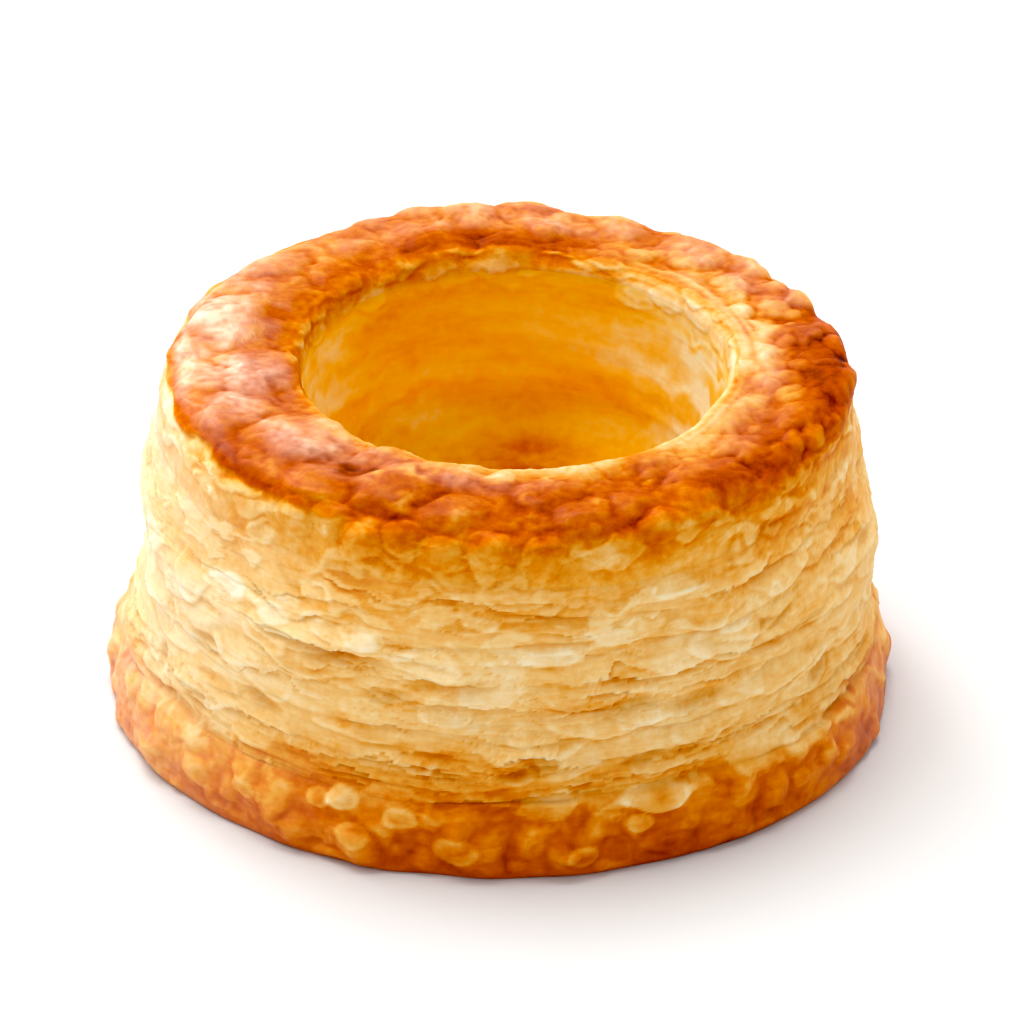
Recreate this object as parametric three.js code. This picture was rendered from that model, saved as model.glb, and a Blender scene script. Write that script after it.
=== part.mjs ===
// A vol-au-vent: a round case of puff pastry.
// It has a browned base, a flaky side, a blistered rim and an empty well.
// Millimetres, +Z up. The origin is the middle of the underside, on the surface that the case stands on.
// Angles start at the front (-Y) and grow towards +X.
import * as THREE from "three";

const { clamp, degToRad } = THREE.MathUtils;

// Browned base, the disc at the bottom
const FOOT_RADIUS = 38.9; // edge of the flat underside
const BASE_RADIUS = 39.8; // widest ring of the base
const BASE_TOP_RADIUS = 38.5;
const BASE_LUMP = 0.4; // depth of the lumps round the base
const BASE_SWELL = 1.1; // the base spreads on one side
const BASE_SWELL_ANGLE = degToRad(60);
const BASE_SWELL_WIDTH = degToRad(28);

// Flaky side, a stack of leaves that overlap like roof shingles
const LEAF_LEVELS = [8.4, 12.0, 15.2, 18.4, 21.8, 25.0, 28.2, 31.5]; // edges, the last under the rim
const SIDE_FOOT_RADIUS = 38.2;
const SIDE_TOP_RADIUS = 35.5;
const SIDE_BELLY = 0.7; // how far the side swells between its two ends
const SIDE_SWELL = 0.35; // soft bumps all over the side
const SIDE_SWELL_HEIGHT = 9; // from one bump to the next above it
const LEAST_LEAF = 0.7; // thinnest place of a leaf
const LEAF_TILT = 1.6; // the middle leaves are higher on one side
const LEAF_TILT_ANGLE = degToRad(-65);
const LEAF_DRIFT = 0.45; // rise and fall of each leaf's own edge
const LIP_STAND_OFF = 0.2; // how far a leaf's lower edge stands off the side
const LIP_VARIATION = 0.32;
const MOST_LIP = 0.65;
const POCKET_DEPTH = 0.25; // shadowed recess under the next leaf's edge
const POCKET_VARIATION = 0.35;
const MOST_POCKET = 0.8;

// Rim, a rolled crust with a flat top and blisters
const HEIGHT = 38.1;
const ROLL_CENTRE_RADIUS = 31.0; // crest, where the outer roll turns into the flat top
const ROLL_FULLNESS = 0.75; // below 1 the outer roll is fuller than an ellipse
const TOP_INNER_RADIUS = 23.4;
const LIP_RADIUS = 21.9; // mouth of the well
const LIP_DROP = 1.8; // height of the inner rounding
const RIM_LENGTH = 19.6; // along the outline, from the shoulder to the mouth
const ROLL_SHARE = 0.48; // outer roll, as a share of that length
const TOP_SHARE = 0.39; // flat top, likewise
const RIM_SWAY = 0.35; // rise and fall of the crest
const RIM_TILT = 0.3; // the crest is higher on one side
const RIM_TILT_ANGLE = degToRad(-130);
const RIM_BLISTERS = 64;
const BLISTER_RADIUS = [2.2, 4.6];
const BLISTER_RISE = 0.15; // height as a share of its radius

// Well, the empty hollow
const WELL_FOOT_RADIUS = 20.4; // where the wall turns into the floor
const FLOOR_HEIGHT = 17.4;
const FLOOR_ROUNDING = [5.4, 5.6]; // radial and vertical size of the corner
const WELL_RIPPLE = 0.3;
const FLOOR_RIPPLE = 0.25;

// The case leans a little, so that the mouth isn't quite over the base
const RIM_LEAN = 0.5;
const LIP_LEAN = 1.1;

// Steps of the surface
const COLUMNS = 108;
const LEAF_STEPS = [0, 0.3, 0.92];
const BASE_STEPS = [0.14, 0.34, 0.58, 0.8, 0.95];
const RIM_STEPS = 14;
const WELL_STEPS = 5;
const FLOOR_STEPS = 3;

const TURN = 2 * Math.PI;
const LEAVES = LEAF_LEVELS.length - 1;
const BASE_HEIGHT = LEAF_LEVELS[0];
const SIDE_TOP = LEAF_LEVELS[LEAVES];
const mix = (a, b, t) => a + (b - a) * t;

// A repeatable number from 0 to 1 for a pair of whole numbers.
function scatter(a, b) {
  const x = Math.sin(a * 12.9898 + b * 78.233) * 43758.5453;
  return x - Math.floor(x);
}

// An uneven ripple round the case, mostly from -1 to 1, made of waves that each fit the turn.
function ripple(angle, seed, fewest, most) {
  let sum = 0;
  for (let waves = fewest; waves <= most; waves++) {
    sum += Math.cos(waves * angle + TURN * scatter(seed, waves));
  }
  return sum / Math.sqrt(most - fewest + 1);
}

function baseSwell(angle) {
  return BASE_SWELL * Math.exp(-(((angle - BASE_SWELL_ANGLE) / BASE_SWELL_WIDTH) ** 2));
}

// Browned base: a low bulge with lumps, from the underside's edge to the foot of the leaves.
function basePoint(t, angle) {
  const straight = mix(FOOT_RADIUS, BASE_TOP_RADIUS, t) + baseSwell(angle);
  const bulge = (BASE_RADIUS - FOOT_RADIUS) * Math.sin(Math.PI * t ** 0.7);
  const lumps = BASE_LUMP * ripple(angle + 0.15 * t, 3, 9, 26) * Math.sin(Math.PI * Math.min(1, t + 0.12));
  return { radius: straight + bulge + lumps, height: t * leafEdge(0, angle), inward: 0 };
}

// Height of a leaf's lower edge, which stays clear of the leaf below.
function leafEdge(leaf, angle) {
  const level = LEAF_LEVELS[leaf];
  const rise = (level - BASE_HEIGHT) / (SIDE_TOP - BASE_HEIGHT);
  const tilt = LEAF_TILT * Math.sin(Math.PI * rise) * Math.cos(angle - LEAF_TILT_ANGLE);
  const edge = level + tilt + LEAF_DRIFT * ripple(angle, 20 + leaf, 2, 8);
  return leaf === 0 ? edge : Math.max(edge, leafEdge(leaf - 1, angle) + LEAST_LEAF);
}

// The side under its leaves: a taper with a belly and soft bumps, which die out at the rim.
function sideRadius(height, angle) {
  const t = clamp((height - BASE_HEIGHT) / (SIDE_TOP - BASE_HEIGHT), 0, 1);
  const phase = (TURN * height) / SIDE_SWELL_HEIGHT + 2 * ripple(angle, 72, 1, 4);
  const bumps = ripple(angle, 71, 4, 12) * Math.cos(phase);
  const smooth = mix(SIDE_FOOT_RADIUS, SIDE_TOP_RADIUS, t) + SIDE_BELLY * Math.sin(Math.PI * t);
  return smooth + SIDE_SWELL * bumps * (1 - t) + 0.5 * baseSwell(angle) * (1 - t);
}

// Flaky side: each leaf hangs out at its lower edge and sinks back under the edge of the next one.
function leafPoint(leaf, t, angle) {
  const height = mix(leafEdge(leaf, angle), leafEdge(leaf + 1, angle), t);
  const lip = clamp(LIP_STAND_OFF + LIP_VARIATION * ripple(angle, 40 + leaf, 3, 13), 0, MOST_LIP);
  const pocket = clamp(POCKET_DEPTH + POCKET_VARIATION * ripple(angle, 60 + leaf, 2, 9), 0, MOST_POCKET);
  return { radius: sideRadius(height, angle) + lip * (1 - t) ** 1.2 - pocket * t ** 2, height, inward: 0 };
}

// Rim outline without its unevenness: an outer roll, a flat top and an inner rounding, with its normal.
function rimOutline(t, shoulder, angle) {
  const roll = { across: sideRadius(shoulder, angle) - ROLL_CENTRE_RADIUS, up: HEIGHT - shoulder };
  const rounding = { across: TOP_INNER_RADIUS - LIP_RADIUS, up: LIP_DROP };
  if (t < ROLL_SHARE) {
    const turn = (t / ROLL_SHARE) * (Math.PI / 2);
    return {
      radius: ROLL_CENTRE_RADIUS + roll.across * Math.cos(turn) ** ROLL_FULLNESS,
      height: shoulder + roll.up * Math.sin(turn) ** ROLL_FULLNESS,
      normal: [Math.cos(turn), Math.sin(turn)],
    };
  }
  if (t < ROLL_SHARE + TOP_SHARE) {
    const along = (t - ROLL_SHARE) / TOP_SHARE;
    return { radius: mix(ROLL_CENTRE_RADIUS, TOP_INNER_RADIUS, along), height: HEIGHT, normal: [0, 1] };
  }
  const turn = ((t - ROLL_SHARE - TOP_SHARE) / (1 - ROLL_SHARE - TOP_SHARE)) * (Math.PI / 2);
  return {
    radius: TOP_INNER_RADIUS - rounding.across * Math.sin(turn),
    height: HEIGHT - LIP_DROP + rounding.up * Math.cos(turn),
    normal: [-Math.sin(turn), Math.cos(turn)],
  };
}

// Blisters of the rim: seeded domes, spread evenly round the turn and across the crust.
const rimBlisters = Array.from({ length: RIM_BLISTERS }, (_, i) => ({
  angle: (TURN * (i + 0.7 * scatter(7, i))) / RIM_BLISTERS,
  across: (0.08 + 0.8 * ((i * 0.618 + 0.2 * scatter(8, i)) % 1)) * RIM_LENGTH,
  radius: mix(...BLISTER_RADIUS, scatter(9, i) ** 1.5),
}));

function blisterRise(angle, across, radius) {
  let highest = 0;
  for (const blister of rimBlisters) {
    const turn = Math.abs(angle - blister.angle) % TURN;
    const round = Math.min(turn, TURN - turn) * radius;
    const off = Math.hypot(round, across - blister.across) / blister.radius;
    if (off < 1) highest = Math.max(highest, BLISTER_RISE * blister.radius * (1 - off * off) ** 0.8);
  }
  return highest;
}

// Rim: the outline with a swaying crest and blisters pushed out along its normal.
function rimPoint(t, angle) {
  const { radius, height, normal } = rimOutline(t, leafEdge(LEAVES, angle), angle);
  const fade = Math.min(1, t / 0.1, (1 - t) / 0.1);
  const rise = blisterRise(angle, t * RIM_LENGTH, radius) * fade;
  const uneven = RIM_SWAY * ripple(angle, 13, 2, 6) + RIM_TILT * Math.cos(angle - RIM_TILT_ANGLE);
  const sway = uneven * Math.sin(Math.PI * t);
  return { radius: radius + normal[0] * rise, height: height + normal[1] * rise + sway, inward: t };
}

// Well wall: a slight taper with the ripples of cut layers.
function wellPoint(t, angle) {
  const mouth = HEIGHT - LIP_DROP;
  const foot = FLOOR_HEIGHT + FLOOR_ROUNDING[1];
  const layers = WELL_RIPPLE * ripple(angle + 2 * t, 15, 2, 5) * Math.cos(9 * Math.PI * t);
  return { radius: mix(LIP_RADIUS, WELL_FOOT_RADIUS, t) + layers, height: mix(mouth, foot, t), inward: 1 };
}

// Well floor: a rounded corner that runs out into an uneven disc.
function floorPoint(t, angle) {
  const turn = t * (Math.PI / 2);
  const radius = WELL_FOOT_RADIUS - FLOOR_ROUNDING[0] * (1 - Math.cos(turn));
  const height = FLOOR_HEIGHT + FLOOR_ROUNDING[1] * (1 - Math.sin(turn));
  return { radius, height: height + FLOOR_RIPPLE * ripple(angle, 17, 2, 6) * t, inward: 1 };
}

// Sideways shift, which grows with height, and across the rim from its outside to the mouth.
function lean(height, inward) {
  const rise = height / HEIGHT;
  return RIM_LEAN * rise ** 1.5 + LIP_LEAN * inward * rise;
}

// Rows of the surface from the middle of the underside, up the side, over the rim and down into the well.
const evenly = (steps) => Array.from({ length: steps }, (_, i) => (i + 1) / steps);
const disc = (radius, height, inward) => () => ({ radius, height, inward });
const rows = [
  disc(0, 0, 0),
  disc(FOOT_RADIUS / 2, 0, 0),
  disc(FOOT_RADIUS, 0, 0),
  ...BASE_STEPS.map((t) => (angle) => basePoint(t, angle)),
  ...Array.from({ length: LEAVES * LEAF_STEPS.length }, (_, i) => {
    const leaf = Math.floor(i / LEAF_STEPS.length);
    return (angle) => leafPoint(leaf, LEAF_STEPS[i % LEAF_STEPS.length], angle);
  }),
  ...evenly(RIM_STEPS).map((t) => (angle) => rimPoint(t, angle)),
  ...evenly(WELL_STEPS).map((t) => (angle) => wellPoint(t, angle)),
  ...evenly(FLOOR_STEPS).map((t) => (angle) => floorPoint(t, angle)),
  disc(0, FLOOR_HEIGHT, 1),
];

// One closed surface: a lathe of the rows, whose points then move to their own place at each angle.
function pastryCase() {
  const outline = rows.map((point) => new THREE.Vector2(point(0).radius, point(0).height));
  const geometry = new THREE.LatheGeometry(outline, COLUMNS);
  const position = geometry.getAttribute("position");
  for (let i = 0; i < position.count; i++) {
    const column = Math.floor(i / rows.length) % COLUMNS;
    const angle = (TURN * column) / COLUMNS;
    const { radius, height, inward } = rows[i % rows.length](angle);
    position.setXYZ(i, radius * Math.sin(angle) + lean(height, inward), -radius * Math.cos(angle), height);
  }
  geometry.deleteAttribute("uv");
  geometry.computeVertexNormals();
  return geometry;
}

const bakedPastry = new THREE.MeshStandardMaterial({ color: 0xe2a458, roughness: 0.6, metalness: 0 });

const volAuVent = new THREE.Group();
const pastry = new THREE.Mesh(pastryCase(), bakedPastry);
pastry.name = "pastry_case";
volAuVent.add(pastry);

export default volAuVent;
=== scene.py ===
"""A vol-au-vent on a pale floor: the baked look of the case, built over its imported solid.

Lengths are millimetres until a mesh is made. Angles start at the front (-Y) and grow towards +X: radians where
they are worked out, degrees where a place is given. A run is a place along the outline: up the base and the
leaves, over the rim and down the well.
"""

import logging
import math
from abc import ABC, abstractmethod
from dataclasses import dataclass, field, fields
from enum import Enum

import bmesh
import bpy
import numpy as np
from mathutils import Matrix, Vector


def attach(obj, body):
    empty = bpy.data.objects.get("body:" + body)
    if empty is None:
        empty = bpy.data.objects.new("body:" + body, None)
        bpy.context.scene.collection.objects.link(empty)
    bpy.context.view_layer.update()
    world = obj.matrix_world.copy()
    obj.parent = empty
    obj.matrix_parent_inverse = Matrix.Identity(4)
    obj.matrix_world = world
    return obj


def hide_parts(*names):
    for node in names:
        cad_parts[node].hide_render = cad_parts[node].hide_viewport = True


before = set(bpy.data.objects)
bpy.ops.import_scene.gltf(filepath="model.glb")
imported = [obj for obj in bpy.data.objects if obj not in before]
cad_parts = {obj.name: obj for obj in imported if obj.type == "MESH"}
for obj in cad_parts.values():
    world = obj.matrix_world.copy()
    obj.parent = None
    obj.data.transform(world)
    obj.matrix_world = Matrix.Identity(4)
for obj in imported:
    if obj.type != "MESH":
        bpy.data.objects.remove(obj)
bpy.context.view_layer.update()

log = logging.getLogger("vol_au_vent")

Array = np.ndarray
Value = Array | float
Block = tuple[Array, Array]
Pair = tuple[float, float]
Point = tuple[float, float, float]
Socket = bpy.types.NodeSocket

MM = 0.001
TURN = 2 * math.pi
NODE = "pastry_case"
BODY = "root"
COLUMNS = 880
ANGLES = (np.arange(COLUMNS) * TURN / COLUMNS)[None, :]


def mix(low: Value, high: Value, share: Value) -> Value:
    """Returns the value at that share of the way from low to high."""
    return low + (high - low) * share


def smooth(start: float, end: float, value: Value) -> Value:
    """Eases from 0 at start to 1 at end.

    Args:
        start: where the rise starts; it may be above end, for a fall.
        end: where the rise ends.
        value: what is eased.

    Returns:
        Shares from 0 to 1.
    """
    share = np.clip((value - start) / (end - start), 0, 1)
    return share * share * (3 - 2 * share)


def shares(count: int) -> Array:
    """Returns even shares from 0 up to, but not including, 1, one for each row."""
    return np.linspace(0, 1, count, endpoint=False)[:, None]


def hump(value: Value, middle: float, width: float) -> Value:
    """Returns 1 at the middle, falling softly to nothing over that width."""
    return np.exp(-(((value - middle) / width) ** 2))


def turn_between(angle: Value, middle: float) -> Value:
    """Returns the signed turn from middle to each angle, from half a turn back to half a turn on."""
    return (angle - middle + math.pi) % TURN - math.pi


def near(angle: Value, middle: float, width: float) -> Value:
    """Returns 1 at an angle in degrees, falling softly to nothing over that width in degrees."""
    return hump(turn_between(angle, math.radians(middle)), 0, math.radians(width))


def scatter(seed: float, step: float) -> float:
    """Returns a repeatable number from 0 to 1 for a pair of whole numbers."""
    value = math.sin(seed * 12.9898 + step * 78.233) * 43758.5453
    return value - math.floor(value)


def ripple(angle: Array, seed: int, fewest: int, most: int) -> Array:
    """An uneven ripple round the case, made of waves that each fit the turn.

    Args:
        angle: angles in radians.
        seed: which ripple.
        fewest: waves round the turn of the longest wave.
        most: waves round the turn of the shortest wave.

    Returns:
        Heights, mostly from -1 to 1.
    """
    total = np.zeros_like(angle)
    for waves in range(fewest, most + 1):
        total = total + np.cos(waves * angle + TURN * scatter(seed, waves))
    return total / math.sqrt(most - fewest + 1)


@dataclass(frozen=True)
class Grain:
    """Smooth seeded noise on a sheet that goes round the case, in cells."""

    seed: int
    around: int
    step: float = 1.0
    table_rows: int = 256

    def at(self, angle: Array = ANGLES, across: Value = 0.0) -> Array:
        """Noise at each point.

        Args:
            angle: angles in radians.
            across: places along the sheet's other direction, in millimetres.

        Returns:
            Values from -1 to 1.
        """
        table = np.random.default_rng(self.seed).uniform(-1, 1, (self.table_rows, self.around))
        along, across = angle / TURN * self.around, np.asarray(across) / self.step
        column, row = np.floor(along).astype(int), np.floor(across).astype(int)
        left, right = column % self.around, (column + 1) % self.around
        low, high = row % self.table_rows, (row + 1) % self.table_rows
        share = smooth(0, 1, along - column)
        lower = mix(table[low, left], table[low, right], share)
        upper = mix(table[high, left], table[high, right], share)
        return mix(lower, upper, smooth(0, 1, across - row))


def crumple(seed: int, angle: Array, across: Array, around: int, step: float, octaves: int = 3) -> Array:
    """Noise in several sizes, each half as large as the one before.

    Args:
        seed: which noise.
        angle: angles in radians.
        across: places along the other direction, in millimetres.
        around: cells of the largest noise round the turn.
        step: length of its cells across, in millimetres.
        octaves: how many sizes.

    Returns:
        Values, mostly from -1 to 1.
    """
    total = np.zeros(np.broadcast(angle, across).shape)
    for octave in range(octaves):
        total += Grain(seed + octave, around * 2**octave, step / 2**octave).at(angle, across) / 2**octave
    return total


def blur(values: Array, half: int) -> Array:
    """Mean over a square of cells, which wraps round the turn.

    Args:
        values: values by row and column.
        half: half the width of the square.

    Returns:
        The blurred values.
    """
    width = 2 * half + 1
    sums = np.cumsum(np.pad(values, ((half + 1, half), (0, 0)), mode="edge"), axis=0)
    tall = (sums[width:] - sums[:-width]) / width
    sums = np.cumsum(np.pad(tall, ((0, 0), (half + 1, half)), mode="wrap"), axis=1)
    return (sums[:, width:] - sums[:, :-width]) / width


@dataclass(frozen=True)
class Profile:
    """A value along the outline, straight between its points."""

    runs: tuple[float, ...]
    values: tuple[float, ...]

    def at(self, run: Array) -> Array:
        """Returns the value at each run."""
        return np.interp(run, self.runs, self.values)


@dataclass(frozen=True)
class Patch:
    """A soft patch of the outside: its middle and width round the turn, and its rise and fall along the run."""

    value: float
    angle: float
    width: float
    rise: Pair = (-2, -1)
    fall: Pair = (99, 98)

    def at(self, angle: Array, run: Array) -> Array:
        """Returns the patch's value at each point."""
        along = smooth(*self.rise, run) * smooth(*self.fall, run)
        return self.value * near(angle, self.angle, self.width) * along


@dataclass(frozen=True)
class Spot:
    """A soft oval spot of the outside: its middle and width round the turn, then along the run."""

    value: float
    angle: float
    width: float
    run: float
    height: float

    def at(self, angle: Array, run: Array) -> Array:
        """Returns the spot's value at each point."""
        return self.value * near(angle, self.angle, self.width) * hump(run, self.run, self.height)


def marks_at(marks: tuple[Patch | Spot, ...], run: Array) -> Array:
    """Returns the sum of soft patches and spots at each point of the outside."""
    return sum(mark.at(ANGLES, run) for mark in marks)


@dataclass(frozen=True)
class Pick:
    """A repeatable choice between two values; with a power above 1 the first is likelier."""

    seed: int
    first: float
    second: float
    power: float = 1.0

    def of(self, number: int) -> float:
        """Returns the value for a number."""
        return mix(self.first, self.second, scatter(self.seed, number) ** self.power)


@dataclass(frozen=True)
class Scrap:
    """A small plate, pad, hollow or blister: its place, half its width and height, its thickness and tint."""

    angle: float
    run: float
    wide: float
    tall: float
    thick: float = 0.0
    tint: float = 0.0
    number: int = 0

    @classmethod
    def round(cls, angle: float, run: float, radius: float) -> "Scrap":
        """Returns a round scrap."""
        return cls(angle, run, radius, radius)


@dataclass(frozen=True)
class Scraps:
    """Scraps strewn round the case; the stride from one to the next keeps neighbours apart along the run."""

    count: int
    seed: int
    jitter: float
    runs: Pair
    wide: Pick
    tall: Pick = Pick(0, 1, 1)
    thick: Pick = Pick(0, 0, 0)
    tint: Pick = Pick(0, 0, 0)
    tall_by_width: bool = True
    stride: float = 0.618
    stray: float = 0.3
    power: float = 1.0

    def strewn(self) -> list[Scrap]:
        """Returns the scraps, each with its number."""
        return [self.one(number) for number in range(self.count)]

    def one(self, number: int) -> Scrap:
        """Picks the place and size of one scrap.

        Args:
            number: which one.

        Returns:
            The scrap.
        """
        angle = 360 * (number + self.jitter * scatter(self.seed, number)) / self.count
        share = (number * self.stride + self.stray * scatter(self.seed + 1, number)) % 1
        wide, tall = self.wide.of(number), self.tall.of(number)
        tall = tall * wide if self.tall_by_width else tall
        run = mix(*self.runs, share**self.power)
        return Scrap(angle, run, wide, tall, self.thick.of(number), self.tint.of(number), number)


@dataclass(frozen=True)
class CaseForm:
    """The sizes and outlines that the solid and the dressed case share; only the wall ripples less here."""

    foot_radius: float = 38.9
    base_radius: float = 39.8
    base_top_radius: float = 38.5
    base_lump: float = 0.4
    base_swell: Patch = Patch(1.1, 60, 28)
    leaf_levels: tuple[float, ...] = (8.4, 12.0, 15.2, 18.4, 21.8, 25.0, 28.2, 31.5)
    side_foot_radius: float = 38.2
    side_top_radius: float = 35.5
    side_belly: float = 0.7
    side_swell: float = 0.35
    side_swell_height: float = 9
    least_leaf: float = 0.7
    leaf_tilt: float = 1.6
    leaf_tilt_angle: float = math.radians(-65)
    leaf_drift: float = 0.45
    lip_stand_off: float = 0.2
    lip_variation: float = 0.32
    most_lip: float = 0.65
    pocket_depth: float = 0.25
    pocket_variation: float = 0.35
    most_pocket: float = 0.8
    height: float = 38.1
    roll_centre_radius: float = 31.0
    roll_fullness: float = 0.75
    top_inner_radius: float = 23.4
    lip_radius: float = 21.9
    lip_drop: float = 1.8
    rim_length: float = 19.6
    roll_share: float = 0.48
    top_share: float = 0.39
    rim_sway: float = 0.35
    rim_tilt: float = 0.3
    rim_tilt_angle: float = math.radians(-130)
    blister_rise: float = 0.15
    well_foot_radius: float = 20.4
    floor_height: float = 17.4
    corner_width: float = 5.4
    corner_height: float = 5.6
    wall_ripple: float = 0.03
    floor_ripple: float = 0.25
    rim_lean: float = 0.5
    lip_lean: float = 1.1

    @property
    def leaves(self) -> int:
        """How many leaves the side has."""
        return len(self.leaf_levels) - 1

    @property
    def mouth_run(self) -> float:
        """Where the well's mouth is, along the outline."""
        return self.leaf_levels[-1] + self.rim_length

    @property
    def wall_height(self) -> float:
        """Height of the well's wall, from its mouth to the floor's corner."""
        return self.height - self.lip_drop - self.floor_height - self.corner_height

    @property
    def large_blisters(self) -> Scraps:
        """The large blisters of the rim."""
        runs = (self.leaf_levels[-1] + 0.08 * self.rim_length, self.leaf_levels[-1] + 0.88 * self.rim_length)
        return Scraps(64, 7, 0.7, runs, Pick(9, 2.2, 4.6, 1.5), stray=0.2)

    def base_point(self, share: Array) -> tuple[Array, Array]:
        """The side of the browned base.

        Args:
            share: 0 at the underside's edge and 1 under the leaves.

        Returns:
            Radius and height.
        """
        straight = mix(self.foot_radius, self.base_top_radius, share) + self.base_swell.at(ANGLES, share)
        bulge = (self.base_radius - self.foot_radius) * np.sin(math.pi * share**0.7)
        lumps = ripple(ANGLES + 0.15 * share, 3, 9, 26) * np.sin(math.pi * np.minimum(1, share + 0.12))
        return straight + bulge + self.base_lump * lumps, share * self.leaf_edge(0)

    def side_share(self, height: Value) -> Value:
        """Returns the share of the way up the side, from 0 to 1."""
        return np.clip((height - self.leaf_levels[0]) / (self.leaf_levels[-1] - self.leaf_levels[0]), 0, 1)

    def tilt(self, height: Value, angle: Value) -> Array:
        """Returns how much higher than its level a leaf lies at each angle."""
        return self.leaf_tilt * np.sin(math.pi * self.side_share(height)) * np.cos(angle - self.leaf_tilt_angle)

    def leaf_edge(self, leaf: int) -> Array:
        """The lower edge of a leaf, which stays clear of the leaf below.

        Args:
            leaf: which leaf, from 0 at the base; the last is the shoulder of the rim.

        Returns:
            Heights round the case.
        """
        level = self.leaf_levels[leaf]
        edge = level + self.tilt(level, ANGLES) + self.leaf_drift * ripple(ANGLES, 20 + leaf, 2, 8)
        return edge if leaf == 0 else np.maximum(edge, self.leaf_edge(leaf - 1) + self.least_leaf)

    def side_radius(self, height: Array) -> Array:
        """The side under its leaves.

        Args:
            height: heights over the floor.

        Returns:
            Radii.
        """
        share = self.side_share(height)
        phase = TURN * height / self.side_swell_height + 2 * ripple(ANGLES, 72, 1, 4)
        bumps = self.side_swell * ripple(ANGLES, 71, 4, 12) * np.cos(phase)
        bumps = (bumps + 0.5 * self.base_swell.at(ANGLES, share)) * (1 - share)
        belly = self.side_belly * np.sin(math.pi * share)
        return mix(self.side_foot_radius, self.side_top_radius, share) + belly + bumps

    def lip(self, leaf: int) -> Array:
        """Returns how far a leaf's lower edge stands off the side."""
        uneven = self.lip_variation * ripple(ANGLES, 40 + leaf, 3, 13)
        return np.clip(self.lip_stand_off + uneven, 0, self.most_lip)

    def pocket(self, leaf: int) -> Array:
        """Returns how far the top of a leaf sinks under the next one's edge."""
        uneven = self.pocket_variation * ripple(ANGLES, 60 + leaf, 2, 9)
        return np.clip(self.pocket_depth + uneven, 0, self.most_pocket)

    def rim_outline(self, share: Array) -> tuple[Array, Array, Array, Array]:
        """The rim without its blisters.

        Args:
            share: 0 at the shoulder, over the leaves, and 1 at the mouth of the well.

        Returns:
            Radius, height, and the outward normal's radial and upward parts.
        """
        shoulder = self.leaf_edge(self.leaves)
        rounding_share = 1 - self.roll_share - self.top_share
        roll = np.clip(share / self.roll_share, 0, 1) * math.pi / 2
        top = np.clip((share - self.roll_share) / self.top_share, 0, 1)
        inner = np.clip((share - self.roll_share - self.top_share) / rounding_share, 0, 1) * math.pi / 2
        across = self.side_radius(shoulder) - self.roll_centre_radius
        radius = self.roll_centre_radius + across * np.maximum(np.cos(roll), 0) ** self.roll_fullness
        radius = radius - (self.roll_centre_radius - self.top_inner_radius) * top
        radius = radius - (self.top_inner_radius - self.lip_radius) * np.sin(inner)
        height = shoulder + (self.height - shoulder) * np.sin(roll) ** self.roll_fullness
        height = height - self.lip_drop * (1 - np.cos(inner))
        tilt = self.rim_tilt * np.cos(ANGLES - self.rim_tilt_angle)
        sway = (self.rim_sway * ripple(ANGLES, 13, 2, 6) + tilt) * np.sin(math.pi * share)
        outward = np.where(share < self.roll_share, np.cos(roll), -np.sin(inner))
        upward = np.where(share < self.roll_share, np.sin(roll), np.cos(inner))
        return radius, height + sway, outward, upward

    def well_point(self, share: Array) -> tuple[Array, Array]:
        """The wall of the well.

        Args:
            share: 0 at its mouth and 1 at its floor's corner.

        Returns:
            Radius and height.
        """
        layers = self.wall_ripple * ripple(ANGLES + 2 * share, 15, 2, 5) * np.cos(9 * math.pi * share)
        radius = mix(self.lip_radius, self.well_foot_radius, share) + layers * smooth(0, 0.08, share)
        return radius, self.height - self.lip_drop - self.wall_height * share

    def floor_point(self, share: Array) -> tuple[Array, Array]:
        """The rounded corner of the well's floor.

        Args:
            share: 0 at the wall and 1 at the flat.

        Returns:
            Radius and height.
        """
        bend = share * math.pi / 2
        height = self.floor_height + self.corner_height * (1 - np.sin(bend))
        radius = self.well_foot_radius - self.corner_width * (1 - np.cos(bend))
        return radius, height + self.floor_ripple * ripple(ANGLES, 17, 2, 6) * share

    def place(self, radius: Array, height: Array, inward: Value) -> Array:
        """Points of the case, shifted sideways as the case leans.

        Args:
            radius: distance from the leaning axis.
            height: height over the floor.
            inward: 0 outside the rim, 1 at the mouth and in the well.

        Returns:
            Points, one for each radius.
        """
        rise = np.maximum(height, 0) / self.height
        lean = self.rim_lean * rise**1.5 + self.lip_lean * inward * rise
        east, north = radius * np.sin(ANGLES) + lean, -radius * np.cos(ANGLES)
        return np.stack(np.broadcast_arrays(east, north, height), -1)


FORM = CaseForm()


@dataclass
class Table:
    """Named values by row and column."""

    @classmethod
    def joined(cls, parts: list["Table"]) -> "Table":
        """Returns all rows of the parts, in their order."""
        return cls(*(np.concatenate([getattr(part, f.name) for part in parts]) for f in fields(cls)))

    def some(self, first: int, last: int | None) -> "Table":
        """Returns some of the rows."""
        return type(self)(*(getattr(self, f.name)[first:last] for f in fields(self)))


@dataclass
class Rows(Table):
    """Rows of points round the case, before their relief: place along the outline, and its normal."""

    run: Array
    radius: Array
    height: Array
    outward: Array
    upward: Array
    inward: Array

    @classmethod
    def of(cls, *values: Value) -> "Rows":
        """Returns rows from values that may be the same along a row or for all rows."""
        return cls(*np.broadcast_arrays(*values))


@dataclass
class Looks(Table):
    """What the finishes read at each point."""

    bake: Array
    gloss: Array
    # A multiplier on the colour; in cracks and hollows it carries painted shade.
    shade: Array
    glaze: Array
    # Share of the painted sheen: a pale colour mixed in as painted highlights and a paler left side.
    bloom: Array

    @classmethod
    def plain(cls) -> "Looks":
        """Returns the looks of a row out of sight."""
        return cls(*(np.full((1, COLUMNS), value) for value in (0.6, 0.3, 1.0, 0.0, 0.0)))


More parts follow.
